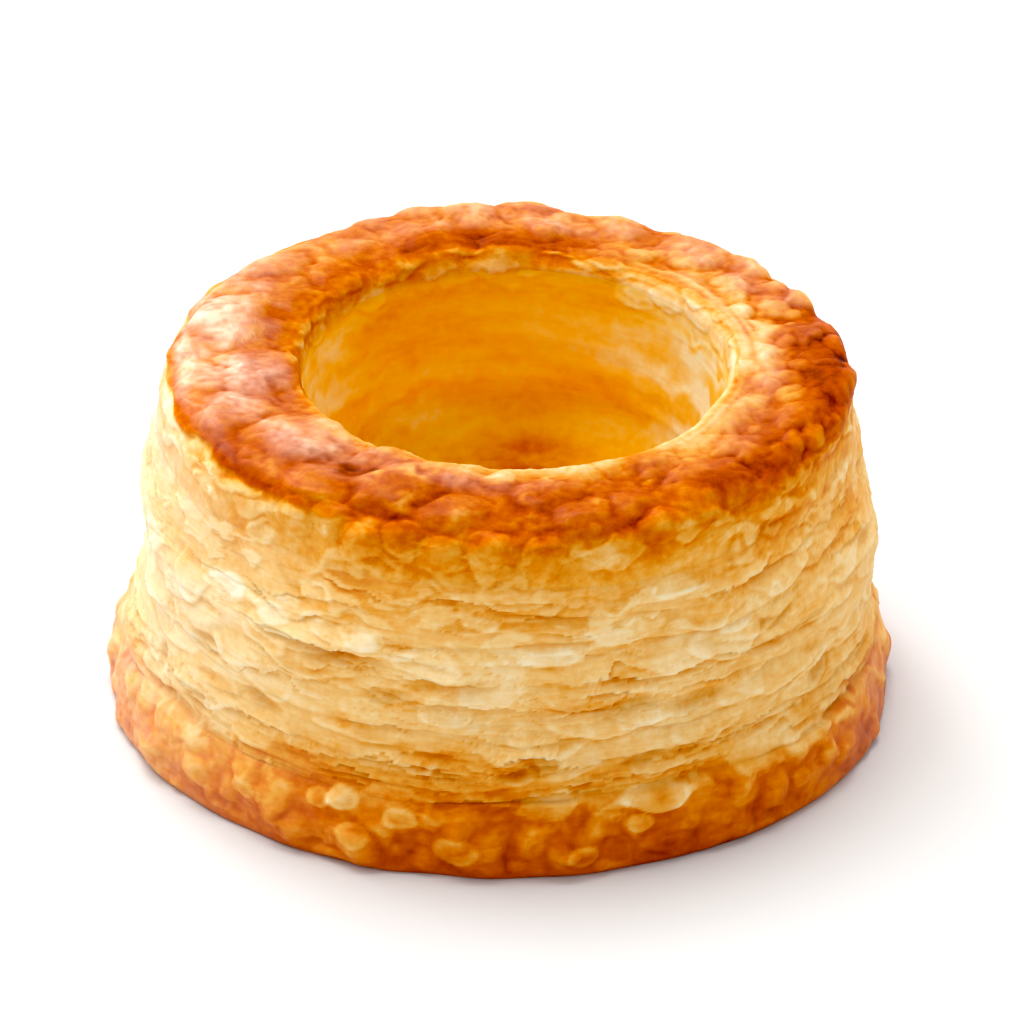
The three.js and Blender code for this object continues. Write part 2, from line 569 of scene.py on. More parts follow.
@dataclass(frozen=True)
class LeafEdge:
    """One thin leaf on the side: its place, length and stand-off, its reach up, and the course of its edge."""

    angle: float
    height: float
    length: float
    thick: float
    run: float = 2.4
    slope: float = 0.0
    bow: float = 0.0
    pocket: float = 0.7
    shade: float = 0.7
    ragged: float = 1.0


class Sheet:
    """The whole outside in one run: up the base, the leaves and the rim, then down the well to its floor."""

    warp: float = 0.55
    warp_size: tuple[int, float, int] = (60, 3.0, 2)
    bend: float = 2
    leaf_reach: float = 7.0
    fine_cells: tuple[int, float] = (3, 0.22)
    wide_cells: tuple[int, float] = (9, 0.5)
    broad_cells: tuple[int, float] = (16, 0.7)

    def __init__(self, zones: list["Zone"]) -> None:
        """Lays the rows of the zones one after another.

        Args:
            zones: from the bottom of the outside to the floor of the well.
        """
        laid = [zone.lay() for zone in zones]
        counts = np.cumsum([0] + [len(part.run) for part in laid])
        self.spans = {zone.name: (a, b) for zone, a, b in zip(zones, counts, counts[1:])}
        self.rows = Rows.joined(laid)
        self.run = self.rows.run
        self.lowest = self.run.min(1)
        self.highest = self.run.max(1)
        self.relief = np.zeros(self.run.shape)
        self.tint = np.zeros(self.run.shape)
        # Painted shade in the hollows: how much darker they are.
        self.dim = np.zeros(self.run.shape)
        self.warp_along = self.warp * crumple(11, ANGLES, self.run, *self.warp_size)
        self.warp_across = self.warp * crumple(13, ANGLES, self.run, *self.warp_size)
        self.bent_angle = ANGLES + self.bend * self.warp_along / FORM.roll_centre_radius
        self.bent_run = self.run + self.bend * self.warp_across

    def crumpled(self, seed: int, around: int, step: float, octaves: int = 3) -> Array:
        """Returns noise in several sizes, bent out of line with the rows."""
        return crumple(seed, self.bent_angle, self.bent_run, around, step, octaves)

    def block(self, angle: float, run: float, reach: Pair) -> tuple[Block, Array, Array]:
        """The cells near a place.

        Args:
            angle: angle of the place, in degrees.
            run: the place along the outline.
            reach: how far to either side, and up and down.

        Returns:
            Index of the cells, and their distance along the turn and along the outline.
        """
        rows = np.nonzero((self.highest >= run - reach[1]) & (self.lowest <= run + reach[1]))[0]
        middle = np.argmin(np.abs(self.lowest - run))
        arc = turn_between(ANGLES[0], math.radians(angle)) * self.rows.radius[middle].mean()
        columns = np.nonzero(np.abs(arc) <= reach[0])[0]
        index = np.ix_(rows, columns)
        return index, arc[None, columns], self.run[index] - run

    def oval(self, scrap: Scrap, bend: Pair, reach: float) -> tuple[Block, Array, Array]:
        """The cells round a scrap, which is bent a little out of shape.

        Args:
            scrap: its place and size.
            bend: how far it is bent along the turn and along the outline.
            reach: how far the cells go, in half sizes.

        Returns:
            Index of the cells, and their distance along the turn and along the outline, in half sizes.
        """
        index, x, y = self.block(scrap.angle, scrap.run, (reach * scrap.wide, reach * scrap.tall))
        x = (x + bend[0] * self.warp_along[index]) / scrap.wide
        y = (y + bend[1] * self.warp_across[index]) / scrap.tall
        return index, x, y

    def dome(self, scrap: Scrap, power: float) -> tuple[Block, Array]:
        """A round blister.

        Args:
            scrap: its place and size.
            power: below 1 for a full dome, above 1 for a peak.

        Returns:
            Index of its cells, and their share of its rise.
        """
        index, x, y = self.oval(scrap, (scrap.wide / 3, scrap.wide / 3), 1.8)
        return index, np.clip(1 - x**2 - y**2, 0, 1) ** power

    def scale(self, scrap: Scrap, seed: int, edge: float, middle: float, hang: float = 1.0) -> None:
        """Lays a small plate like a fish scale, whose free edge stands off most.

        Args:
            scrap: its place and size.
            seed: which outline.
            edge: tint of its free edge.
            middle: tint of its middle.
            hang: 1 if the free edge is lower along the outline, -1 if it is higher.
        """
        index, x, y = self.oval(scrap, (0.5, 0.5), 1.6)
        y = hang * y
        off = np.hypot(x, y) * (1 + 0.14 * ripple(np.arctan2(y, x), seed, 2, 4))
        inland = (1 - off) * min(scrap.wide, scrap.tall)
        inside = smooth(-0.1, 0.14, inland)
        free = np.clip(0.5 - 0.5 * y, 0, 1)
        self.relief[index] += scrap.thick * inside * free
        border = inside * smooth(0.7, 0.1, inland) * free
        # Painted shadow: browner just below the free edge.
        shade = (1 - inside) * smooth(-0.7, 0, inland) * free
        self.tint[index] += edge * border + middle * (inside - border) + 0.2 * scrap.thick * shade

    def pad(self, scrap: Scrap, edge: float, middle: float) -> None:
        """Lays a smooth oval pad.

        Args:
            scrap: its place and size; a thickness below 0 makes it a hollow.
            edge: tint of its edge.
            middle: tint of its middle.
        """
        index, x, y = self.oval(scrap, (0.35, 0.35), 1.5)
        off = x**2 + y**2
        self.relief[index] += scrap.thick * np.clip(1 - off, 0, 1) ** 0.85
        inside = smooth(1.1, 0.75, off)
        border = inside * smooth(0.05, 0.55, off)
        self.tint[index] += edge * border + middle * (inside - border)

    def hollow(self, scrap: Scrap) -> None:
        """Sinks an oval hollow, deepest under its upper edge, with painted shade that makes it browner and
        darker there.

        Args:
            scrap: its place, size, depth and the strength of its painted shade.
        """
        index, x, y = self.oval(scrap, (1.2, 0.9), 1.6)
        sunk = np.clip(1 - x**2 - y**2, 0, 1) * np.clip(0.8 + 0.4 * y, 0, 1)
        self.relief[index] -= scrap.thick * sunk
        # Painted shade: browner and darker where the hollow is deepest.
        self.tint[index] += scrap.tint * sunk
        self.dim[index] += scrap.tint * sunk

    def leaf(self, edge: LeafEdge, seed: int) -> None:
        """Lays a thin leaf whose ragged lower edge stands off, over a pocket with painted shadow.

        Args:
            edge: its place and size.
            seed: which ragged edge.
        """
        index, arc, _ = self.block(edge.angle, edge.height, (edge.length / 2, self.leaf_reach))
        along = 2 * arc / edge.length
        angle = ANGLES[0][index[1]]
        wander = 0.6 * Grain(seed, 30).at(angle) + 0.25 * Grain(seed + 1, 90).at(angle)
        torn = np.clip(0.5 + 0.9 * Grain(seed + 5, 36).at(angle), 0.1, 1.3) * edge.ragged
        ragged = torn * (0.18 * Grain(seed + 2, 130).at(angle) + 0.07 * Grain(seed + 3, 260).at(angle))
        tilt = FORM.tilt(edge.height, angle) - FORM.tilt(edge.height, math.radians(edge.angle))
        low = edge.height + tilt + edge.slope * arc - edge.bow * along**2 + wander + ragged
        lip = edge.thick * np.clip(1 - along**2, 0, 1) ** 0.7
        lip = lip * np.clip(0.7 + 0.7 * Grain(seed + 4, 50).at(angle), 0.05, 1.2)
        off = self.run[index] - low
        above = np.where(off >= 0, np.clip(1 - off / edge.run, 0, 1) ** 1.4, 0)
        below = np.where(off < 0, np.exp(np.minimum(off, 0) / edge.shade), 0)
        self.relief[index] += lip * (above - edge.pocket * below)
        # Painted shadow: browner in the pocket below the edge; paler just above it.
        self.tint[index] += lip * (0.2 * below - above**4 / 6)

    def cavity(self, cells: int, depth: float) -> tuple[Array, Array]:
        """Returns the shares, up to that depth, by which points lie under and over the cells around them."""
        drop = (blur(self.relief, cells) - self.relief) / depth
        return np.clip(drop, 0, 1), np.clip(-drop, 0, 1)

    def settle(self, baking: "Baking") -> None:
        """Works out the points, their normals and their looks, once all zones have shaped the sheet.

        Args:
            baking: how the outside is baked.
        """
        rows, run = self.rows, self.run
        radius = rows.radius + rows.outward * self.relief
        self.points = FORM.place(radius, rows.height + rows.upward * self.relief, rows.inward)
        along = np.roll(self.points, -1, 1) - np.roll(self.points, 1, 1)
        normals = np.cross(along, np.gradient(self.points, axis=0))
        self.normals = normals / np.maximum(np.linalg.norm(normals, axis=-1, keepdims=True), 1e-9)
        fine_sunk, fine_proud = self.cavity(*self.fine_cells)
        wide_sunk, wide_proud = self.cavity(*self.wide_cells)
        broad_sunk, broad_proud = self.cavity(*self.broad_cells)
        # Painted shade and light: browner in creases, paler where the relief stands out.
        creases = 0.2 * fine_sunk + 0.16 * wide_sunk - 0.08 * fine_proud - 0.06 * wide_proud
        bake = np.clip(baking.at(run) + self.tint + baking.crease_at(run) * creases, 0, 1)
        proud = broad_proud - broad_sunk + 0.3 * (wide_proud - wide_sunk + fine_proud - fine_sunk)
        # The shade multiplier, with painted shade in the hollows.
        shade = baking.shade_at(run, bake, fine_sunk + 0.7 * wide_sunk) * (1 - self.dim)
        # The painted sheen: painted highlights on the rim's proud parts and a paler left side.
        glaze, bloom = baking.glaze_at(run, proud), baking.bloom_at(run, proud)
        self.looks = Looks(bake, baking.gloss_at(run), shade, glaze, bloom)


# Where parts of the rim rise and fall along the run
GLAZED = ((36, 38), (48.5, 45.5))
CREST = ((36.5, 38.5), (45.3, 42.7))
MIDDLE = ((40, 43), (49.5, 47.5))
INSIDE = ((43, 45.5), (49.5, 47.5))


@dataclass(frozen=True)
class Baking:
    """How the outside is baked: how brown it is at its front, right, back and left, how glossy, its painted
    shade and its painted sheen.
    """

    runs: tuple[float, ...] = (
        0, 2, 6, 8.2, 9.5, 12, 17, 22, 25, 28, 31,
        34, 37, 40, 44, 47, 49.5, 51, 56, 63, 72, 88,
    )
    front: tuple[float, ...] = (
        0.82, 0.77, 0.71, 0.65, 0.52, 0.34, 0.29, 0.31, 0.36, 0.42, 0.48,
        0.57, 0.72, 0.81, 0.82, 0.70, 0.32, 0.26, 0.36, 0.37, 0.46, 0.70,
    )
    right: tuple[float, ...] = (
        0.76, 0.68, 0.57, 0.47, 0.34, 0.28, 0.28, 0.30, 0.32, 0.34, 0.38,
        0.43, 0.48, 0.50, 0.46, 0.40, 0.31, 0.17, 0.00, 0.06, 0.34, 0.70,
    )
    back: tuple[float, ...] = (
        0.78, 0.74, 0.69, 0.60, 0.48, 0.44, 0.43, 0.43, 0.43, 0.45, 0.47,
        0.50, 0.56, 0.61, 0.65, 0.74, 0.57, 0.46, 0.40, 0.35, 0.47, 0.70,
    )
    left: tuple[float, ...] = (
        0.54, 0.46, 0.38, 0.30, 0.20, 0.12, 0.09, 0.08, 0.08, 0.09, 0.12,
        0.20, 0.46, 0.53, 0.56, 0.65, 0.62, 0.46, 0.26, 0.28, 0.42, 0.70,
    )
    mottle: Profile = Profile((0, 10, 30, 35, 49, 52, 64, 74), (0.035, 0.035, 0.04, 0.07, 0.07, 0.03, 0.03, 0))
    # Painted shade: how much browner creases are along the run, and where that is softer.
    crease: Profile = Profile((0, 8, 10, 28, 36, 48, 53), (0.38, 0.38, 0.22, 0.22, 0.85, 0.85, 0.2))
    soft_creases: Patch = Patch(0.45, -85, 38, (35, 38))
    gloss: Profile = Profile(
        (0, 8, 10, 24, 34, 38, 48, 52, 88), (0.5, 0.4, 0.3, 0.35, 0.6, 0.9, 0.8, 0.45, 0.5)
    )
    shade: Profile = Profile(
        (0, 31, 35, 40, 48, 50, 52, 63, 70, 75, 88), (1, 1.05, 0.95, 0.7, 0.68, 0.8, 1.1, 1.1, 0.84, 0.64, 0.6)
    )
    right_wall: Patch = Patch(0.18, 95, 52, (50, 53), (72, 64))
    glazed: tuple[Patch, ...] = (
        Patch(1, -90, 36, *GLAZED), Patch(0.38, 140, 50, *GLAZED), Patch(0.25, -8, 32, *GLAZED),
    )
    # The painted sheen: a pale colour mixed in on the left of the base and side, and as painted highlights on
    # the rim.
    dry_base: tuple[Patch, ...] = (Patch(0.35, -84, 34, fall=(11, 8)), Patch(0.13, 78, 14, fall=(11, 8)))
    dry_side: Profile = Profile((7, 11, 22, 27, 31, 34, 36), (0, 0.28, 0.42, 0.26, 0.5, 0.3, 0))
    dry_left: Patch = Patch(1.08, -86, 24, *CREST)
    dry_top: tuple[Patch, ...] = (
        Patch(0.33, 182, 40, *CREST), Patch(0.28, 128, 17, *CREST),
        Patch(0.42, -45, 12, *MIDDLE), Patch(0.1, 58, 24, *MIDDLE),
        Patch(0.35, -79, 11, *INSIDE), Patch(0.22, -12, 19, *INSIDE), Patch(0.38, 102, 37, *INSIDE),
    )
    most_bloom: float = 0.78

    def at(self, run: Array) -> Array:
        """Bake levels before the relief.

        Args:
            run: places along the outline.

        Returns:
            Levels, mostly from 0 to 1.
        """
        lobes = (np.cos(ANGLES), np.sin(ANGLES), -np.cos(ANGLES), -np.sin(ANGLES))
        shares = [(0.5 + 0.5 * lobe) ** 2 for lobe in lobes]
        wander = 0.8 * ripple(ANGLES, 91, 3, 11) + 0.7 * crumple(302, ANGLES, run, 60, 4.0)
        drift = run + wander * smooth(74, 64, run)
        levels = [np.interp(drift, self.runs, side) for side in (self.front, self.right, self.back, self.left)]
        level = sum(share * side for share, side in zip(shares, levels)) / sum(shares)
        streaks = 0.4 * Grain(311, 50, 0.7).at(ANGLES, run) + 0.4 * Grain(312, 22, 0.45).at(ANGLES, run)
        return level + self.mottle.at(run) * (crumple(301, ANGLES, run, 44, 2.8) + streaks * (run < 32))

    def crease_at(self, run: Array) -> Array:
        """Returns the strength of the painted shade: how much browner creases are than what stands out; less on
        the left of the rim.
        """
        return self.crease.at(run) * (1 - self.soft_creases.at(ANGLES, run))

    def gloss_at(self, run: Array) -> Array:
        """Returns how smooth the outside is, from 0 to 1."""
        return np.clip(self.gloss.at(run) + 0.25 * crumple(321, ANGLES, run, 60, 3.0), 0, 1)

    def shade_at(self, run: Array, bake: Array, sunk: Array) -> Array:
        """A multiplier on the colour, the share of light that the outside sends back; the browned top and the
        cracks are darkest, and in the cracks that is painted shade.

        Args:
            run: places along the outline.
            bake: how brown it is.
            sunk: how deep it lies in cracks.

        Returns:
            Shares, mostly up to 1.
        """
        level = self.shade.at(run)
        level = mix(np.maximum(level, 1), level, np.maximum(smooth(0.25, 0.5, bake), smooth(36, 42, run)))
        # Painted shade: darker in the cracks of the side.
        cracks = 0.08 * sunk * smooth(8, 10, run) * smooth(36, 32, run)
        return level * (1 - self.right_wall.at(ANGLES, run)) * (1 - cracks)

    def glaze_at(self, run: Array, proud: Array) -> Array:
        """Returns how much egg glaze there is on what stands out of the rim."""
        patchy = crumple(331, ANGLES, run, 40, 4.0)
        return np.clip(0.4 + 0.8 * proud + 0.4 * patchy, 0, 1) * marks_at(self.glazed, run)

    def bloom_at(self, run: Array, proud: Array) -> Array:
        """How much of the painted sheen, a pale colour, is mixed in: on the left of the base and side, and on
        the rim as painted highlights, strongest on what stands out.

        Args:
            run: places along the outline.
            proud: how far it stands out.

        Returns:
            Shares of the pale colour.
        """
        twisted = ANGLES + math.radians(14) * smooth(43, 39.5, run)
        top = self.dry_left.at(twisted, run) + marks_at(self.dry_top, run)
        side = self.dry_side.at(run) * near(ANGLES, -88, 36)
        grain = 1 + 0.45 * crumple(341, ANGLES, run, 300, 0.6, 2)
        level = marks_at(self.dry_base, run) + side + top * np.clip(0.46 + 0.6 * proud, 0.05, 0.9)
        return np.clip(level * grain, 0, self.most_bloom)


def on_screen(colour: Point) -> tuple[float, float, float, float]:
    """Returns what a surface reflects to show a screen colour in full light, with full cover."""
    parts = [c / 255 for c in colour]
    return (*(p / 12.92 if p <= 0.04045 else ((p + 0.055) / 1.055) ** 2.4 for p in parts), 1.0)


@dataclass(frozen=True)
class CrustColours:
    """Colours of the pastry from pale to burnt, as bake level and screen colour in full light."""

    stops: tuple[tuple[float, Point], ...] = (
        (0.00, (252, 239, 212)),
        (0.15, (249, 223, 174)),
        (0.30, (242, 198, 124)),
        (0.45, (234, 164, 60)),
        (0.58, (222, 124, 16)),
        (0.70, (202, 92, 4)),
        (0.82, (176, 68, 2)),
        (0.92, (136, 45, 2)),
        (1.00, (92, 28, 2)),
    )

    def fill(self, ramp: bpy.types.ColorRamp) -> None:
        """Sets the stops of a colour ramp.

        Args:
            ramp: the ramp.
        """
        while len(ramp.elements) < len(self.stops):
            ramp.elements.new(1.0)
        for element, (place, colour) in zip(ramp.elements, self.stops):
            element.position = place
            element.color = on_screen(colour)


GOLDEN = CrustColours(
    stops=(
        (0.00, (242, 236, 194)),
        (0.12, (240, 217, 146)),
        (0.28, (240, 194, 76)),
        (0.42, (237, 172, 22)),
        (0.58, (226, 142, 8)),
        (0.70, (206, 104, 3)),
        (0.82, (180, 76, 2)),
        (1.00, (100, 34, 2)),
    )
)


@dataclass(frozen=True)
class Bench:
    """Where the nodes of one material are put together."""

    tree: bpy.types.NodeTree

    def feed(self, node: bpy.types.Node, inputs: dict[str | int, object]) -> bpy.types.Node:
        """Gives a node its inputs.

        Args:
            node: the node.
            inputs: for each input a socket, which is linked to it, or a value.

        Returns:
            The node.
        """
        for name, value in inputs.items():
            if isinstance(value, Socket):
                self.tree.links.new(value, node.inputs[name])
            else:
                node.inputs[name].default_value = value
        return node

    def add(self, kind: str, output: str, inputs: dict[str | int, object], **settings: str) -> Socket:
        """Adds a node.

        Args:
            kind: which kind, without its prefix.
            output: which output is wanted.
            inputs: for each input a socket or a value.
            settings: what else is set on the node.

        Returns:
            The output.
        """
        node = self.tree.nodes.new("ShaderNode" + kind)
        for name, value in settings.items():
            setattr(node, name, value)
        return self.feed(node, inputs).outputs[output]

    def attribute(self, name: str) -> Socket:
        """Returns the value of a mesh attribute."""
        return self.add("Attribute", "Fac", {}, attribute_name=name)

    def noise(self, flatness: float, size: float, detail: float) -> Socket:
        """Adds a noise.

        Args:
            flatness: how much flatter than wide its grains are.
            size: size of its largest grain, in millimetres.
            detail: how many finer grains it has.

        Returns:
            Its value, from 0 to 1.
        """
        place = self.add("TexCoord", "Object", {})
        place = self.add("Mapping", "Vector", {"Vector": place, "Scale": (1, 1, flatness)})
        return self.add("TexNoise", "Fac", {"Vector": place, "Scale": 1 / (size * MM), "Detail": detail})

    def swing(self, value: Socket, noise: Socket, reach: float) -> Socket:
        """Returns a value to which a noise adds up to reach either way."""
        ends = {"Value": noise, "From Min": 0.3, "From Max": 0.7, "To Min": -reach, "To Max": reach}
        return self.add("Math", "Value", {0: value, 1: self.add("MapRange", "Result", ends)})

    def bump(self, height: Socket, strength: float, depth: float, **under: Socket) -> Socket:
        """Returns the normal of a bump of that depth in millimetres, over the one given as its Normal."""
        inputs = {"Height": height, "Strength": strength, "Distance": depth * MM, **under}
        return self.add("Bump", "Normal", inputs)


@dataclass(frozen=True)
class CrustFinish:
    """A baked crust: colour by bake level, fine mottling, fibres or pits, and a satin to glazed gloss."""

    name: str
    mottle: float = 0.05
    mottle_size: float = 0.9
    fibre: float = 0.3
    fibre_flatness: float = 7.0
    fibre_size: float = 2.4
    fibre_depth: float = 0.25
    pits: float = 0.25
    pit_size: float = 0.35
    pit_depth: float = 0.12
    rough_dry: float = 0.6
    rough_glazed: float = 0.36
    specular: float = 0.12
    glaze_rough: float | None = None
    # Colour of the painted sheen: painted highlights and a paler left side.
    bloom: Point = (248, 207, 177)
    subsurface: float = 0.2
    subsurface_radius: Point = (1.0, 0.6, 0.3)
    subsurface_scale: float = 0.7
    colours: CrustColours = CrustColours()

    def material(self) -> bpy.types.Material:
        """Builds the material.

        Returns:
            The material, made of nodes.
        """
        made = bpy.data.materials.new(self.name)
        made.use_nodes = True
        bench = Bench(made.node_tree)
        mottle = bench.noise(1, self.mottle_size, 6)
        fibre = bench.noise(self.fibre_flatness, self.fibre_size, 5)
        pits = bench.noise(1, self.pit_size, 3)
        rough = {"To Min": self.rough_dry, "To Max": self.rough_glazed, "Value": bench.attribute("gloss")}
        bump = bench.bump(fibre, self.fibre, self.fibre_depth)
        bump = bench.bump(pits, self.pits, self.pit_depth, Normal=bump)
        inputs = {
            "Base Color": self.colour(bench, mottle, fibre),
            "Roughness": bench.add("MapRange", "Result", rough),
            "Normal": bump,
            "Specular IOR Level": self.specular,
            "Subsurface Weight": self.subsurface,
            "Subsurface Radius": self.subsurface_radius,
            "Subsurface Scale": self.subsurface_scale * MM,
        }
        if self.glaze_rough is not None:
            inputs |= {"Coat Weight": bench.attribute("glaze"), "Coat Normal": bump}
            inputs["Coat Roughness"] = self.glaze_rough
        bench.feed(made.node_tree.nodes["Principled BSDF"], inputs)
        return made

    def colour(self, bench: Bench, mottle: Socket, fibre: Socket) -> Socket:
        """Mixes the colour from the bake level, the shade multiplier with its painted shade, and the painted
        sheen.

        Args:
            bench: where the nodes are put together.
            mottle: noise of the mottling.
            fibre: noise of the fibres.

        Returns:
            The colour.
        """
        bake = bench.swing(bench.attribute("bake"), mottle, self.mottle)
        bake = bench.swing(bake, fibre, 0.6 * self.mottle)
        baked = bench.add("ValToRGB", "Color", {"Fac": bake})
        self.colours.fill(baked.node.color_ramp)
        shades = {0: baked, "Scale": bench.attribute("shade")}
        shaded = bench.add("VectorMath", "Vector", shades, operation="SCALE")
        # Painted sheen: a pale colour mixed in by its attribute.
        parts = {"Factor": bench.attribute("bloom"), "A": shaded, "B": on_screen(self.bloom)}
        return bench.add("Mix", "Result", parts, data_type="RGBA")


class Ends(Enum):
    """How the rows of a piece are closed into a solid."""

    LOOP = "the last row meets the first"
    POLES = "the first and the last row are single points"


@dataclass
class Skin:
    """Rows of points round the case that make one closed piece, with what its finish reads."""

    name: str
    ends: Ends
    rows: list[Array] = field(default_factory=list)
    looks: list[Looks] = field(default_factory=list)

    def add(self, points: Array, looks: Looks) -> None:
        """Adds rows of points, in millimetres, with their looks."""
        self.rows.append(points)
        self.looks.append(looks)

    def ring(self, radius: float, height: float, inward: float = 0.0, looks: Looks | None = None) -> None:
        """Adds an even row or a pole, which looks plain unless its looks are given."""
        points = FORM.place(np.full_like(ANGLES, radius), np.full_like(ANGLES, height), inward)
        self.add(points, looks or Looks.plain())

    def build(self, finish: CrustFinish) -> bpy.types.Object:
        """Makes the mesh object, dressed, riding on the body and standing for the solid.

        Args:
            finish: its finish.

        Returns:
            The object.
        """
        points = np.concatenate(self.rows)
        vertex = np.arange(points.shape[0] * COLUMNS).reshape(-1, COLUMNS)
        lower, upper = vertex, np.roll(vertex, -1, 0)
        if self.ends is Ends.POLES:
            lower, upper = lower[:-1], upper[:-1]
        quads = np.stack([lower, np.roll(lower, -1, 1), np.roll(upper, -1, 1), upper], -1).reshape(-1, 4)
        mesh = bpy.data.meshes.new(self.name)
        mesh.from_pydata((points.reshape(-1, 3) * MM).tolist(), [], quads.tolist())
        looks = Looks.joined(self.looks)
        for look in fields(looks):
            data = getattr(looks, look.name).astype(np.float32).ravel()
            mesh.attributes.new(look.name, "FLOAT", "POINT").data.foreach_set("value", data)
        self.weld(mesh)
        mesh.shade_smooth()
        mesh.materials.append(finish.material())
        piece = bpy.data.objects.new(self.name, mesh)
        bpy.context.scene.collection.objects.link(piece)
        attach(piece, BODY)
        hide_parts(NODE)
        return piece

    @staticmethod
    def weld(mesh: bpy.types.Mesh) -> None:
        """Welds the points of each pole and turns the faces out.

        Args:
            mesh: the mesh.
        """
        work = bmesh.new()
        work.from_mesh(mesh)
        bmesh.ops.remove_doubles(work, verts=work.verts, dist=1e-7)
        bmesh.ops.recalc_face_normals(work, faces=work.faces)
        if work.calc_volume(signed=True) < 0:
            bmesh.ops.reverse_faces(work, faces=work.faces)
        work.to_mesh(mesh)
        work.free()


class Zone(ABC):
    """One part of the outside, which makes one piece."""

    name: str
    ends: Ends
    finish: CrustFinish
    tuck_depths: Pair = (0.06, 0.8)

    @abstractmethod
    def lay(self) -> Rows:
        """Returns the zone's rows, from the outside's bottom towards the well's floor."""

    @abstractmethod
    def shape(self, sheet: Sheet) -> None:
        """Adds the zone's relief and tint to the sheet."""

    def start(self, skin: Skin) -> None:
        """Adds the rows out of sight before the zone's own, if it has any."""

    @abstractmethod
    def close(self, skin: Skin) -> None:
        """Adds the rows after the zone's own."""

    def build(self, sheet: Sheet) -> bpy.types.Object:
        """Makes the piece, which goes on a little under its neighbours.

        Args:
            sheet: the outside, settled.

        Returns:
            The object.
        """
        first, last = sheet.spans[self.name]
        end = min(last + 1, len(sheet.run))
        skin = Skin(self.name, self.ends)
        self.start(skin)
        if first > 0:
            self.tuck(skin, sheet, first - 2, self.tuck_depths[::-1])
        skin.add(sheet.points[first:end], sheet.looks.some(first, end))
        if end > last:
            self.tuck(skin, sheet, last + 2, self.tuck_depths)
        self.close(skin)
        return skin.build(self.finish)

    @staticmethod
    def tuck(skin: Skin, sheet: Sheet, row: int, depths: Pair) -> None:
        """Adds two rows under a neighbour's surface.

        Args:
            skin: the piece's rows.
            sheet: the outside.
            row: the neighbour's row.
            depths: how deep the two rows lie.
        """
        for depth in depths:
            points = sheet.points[row : row + 1] - depth * sheet.normals[row : row + 1]
            skin.add(points, sheet.looks.some(row, row + 1))


@dataclass
class BrownedBase(Zone):
    """The browned disc at the bottom, lumpy, with pale oval flakes."""

    name: str = "browned_base"
    ends: Ends = Ends.POLES
    finish: CrustFinish = CrustFinish(
        "browned_base", mottle=0.04, pits=0.5, fibre=0.1, rough_dry=0.55, rough_glazed=0.4, specular=0.15
    )
    steps: int = 36
    lump_height: float = 0.24
    grain_height: float = 0.05
    tan_height: float = 0.1
    knobs: Scraps = Scraps(76, 37, 0.9, (1.4, 7.4), Pick(39, 1.2, 2.4), stride=0, stray=1)
    knob_height: float = 0.45
    flakes: Scraps = Scraps(
        90, 31, 0.8, (1.2, 7.4), Pick(33, 0.8, 1.8), Pick(34, 0.55, 0.85), Pick(36, 0.1, 0.3),
        Pick(35, 0.01, -0.08),
    )
    front_flakes: tuple[Point, ...] = (
        (-41, 5.2, 1.5), (-28, 6.6, 1.3), (-24, 7.2, 1.5), (-15, 6.0, 1.6),
        (-22, 3.8, 1.6), (-6.6, 3.4, 2.1), (12, 2.6, 1.5), (21, 5.2, 1.3),
    )
    front_flake_height: float = 0.34
    torn_flap: Scrap = Scrap(24, 7.4, 4.2, 1.2, 0.2)
    torn_height: float = 0.12
    foot_flare: float = 0.4
    left_bulge: Patch = Patch(0.7, -75, 26, fall=(8.5, 6))
    pale_places: tuple[Patch, ...] = (Patch(0.06, 77, 12), Patch(0.04, 32, 10))
    lid_height: float = 9.5
    lid_radius: float = 30

    def lay(self) -> Rows:
        """Lays the rows up the side of the base.

        Returns:
            The rows.
        """
        share = shares(self.steps)
        radius, height = FORM.base_point(share)
        return Rows.of(height, radius, height, 1.0, 0.0, 0.0)

    def shape(self, sheet: Sheet) -> None:
        """Raises lumps and knobs and lays the flakes.

        Args:
            sheet: the outside.
        """
        run = sheet.run
        here = smooth(9.0, 7.5, run) * smooth(0, 1.2, run)
        tan = smooth(0.1, 0.4, sheet.crumpled(430, 64, 2.4))
        lumps = self.lump_height * sheet.crumpled(411, 56, 3.4)
        grain = self.grain_height * sheet.crumpled(415, 300, 0.8, 2)
        sheet.relief += here * (lumps + grain + self.tan_height * tan)
        mottle = 0.05 * tan + 0.05 * sheet.crumpled(421, 160, 1.2)
        sheet.tint -= here * (mottle + marks_at(self.pale_places, run))
        torn = smooth(0.0, 0.2, sheet.crumpled(440, 60, 2.0)) * smooth(5.2, 7.6, run) * smooth(10.5, 9, run)
        sheet.relief += self.torn_height * torn
        sheet.tint -= 0.1 * torn
        sheet.relief += self.left_bulge.at(ANGLES, run) + self.foot_flare * smooth(2.5, 0.3, run)
        for knob in self.knobs.strewn():
            index, dome = sheet.dome(knob, 1.1)
            sheet.relief[index] += self.knob_height * dome
            sheet.tint[index] -= 0.05 * dome
        for flake in self.flakes.strewn():
            sheet.pad(flake, flake.tint, 0.3 * flake.tint)
        for angle, up, wide in self.front_flakes:
            sheet.pad(Scrap(angle, up, 1.2 * wide, 0.8 * wide, self.front_flake_height), -0.15, -0.06)
        sheet.scale(self.torn_flap, 2801, -0.2, -0.16)

    def start(self, skin: Skin) -> None:
        """Adds the underside."""
        for share in (0.0, 0.5, 0.97):
            skin.ring(share * FORM.foot_radius, 0)

    def close(self, skin: Skin) -> None:
        """Adds a lid inside the case."""
        for radius in (self.lid_radius, 0):
            skin.ring(radius, self.lid_height)


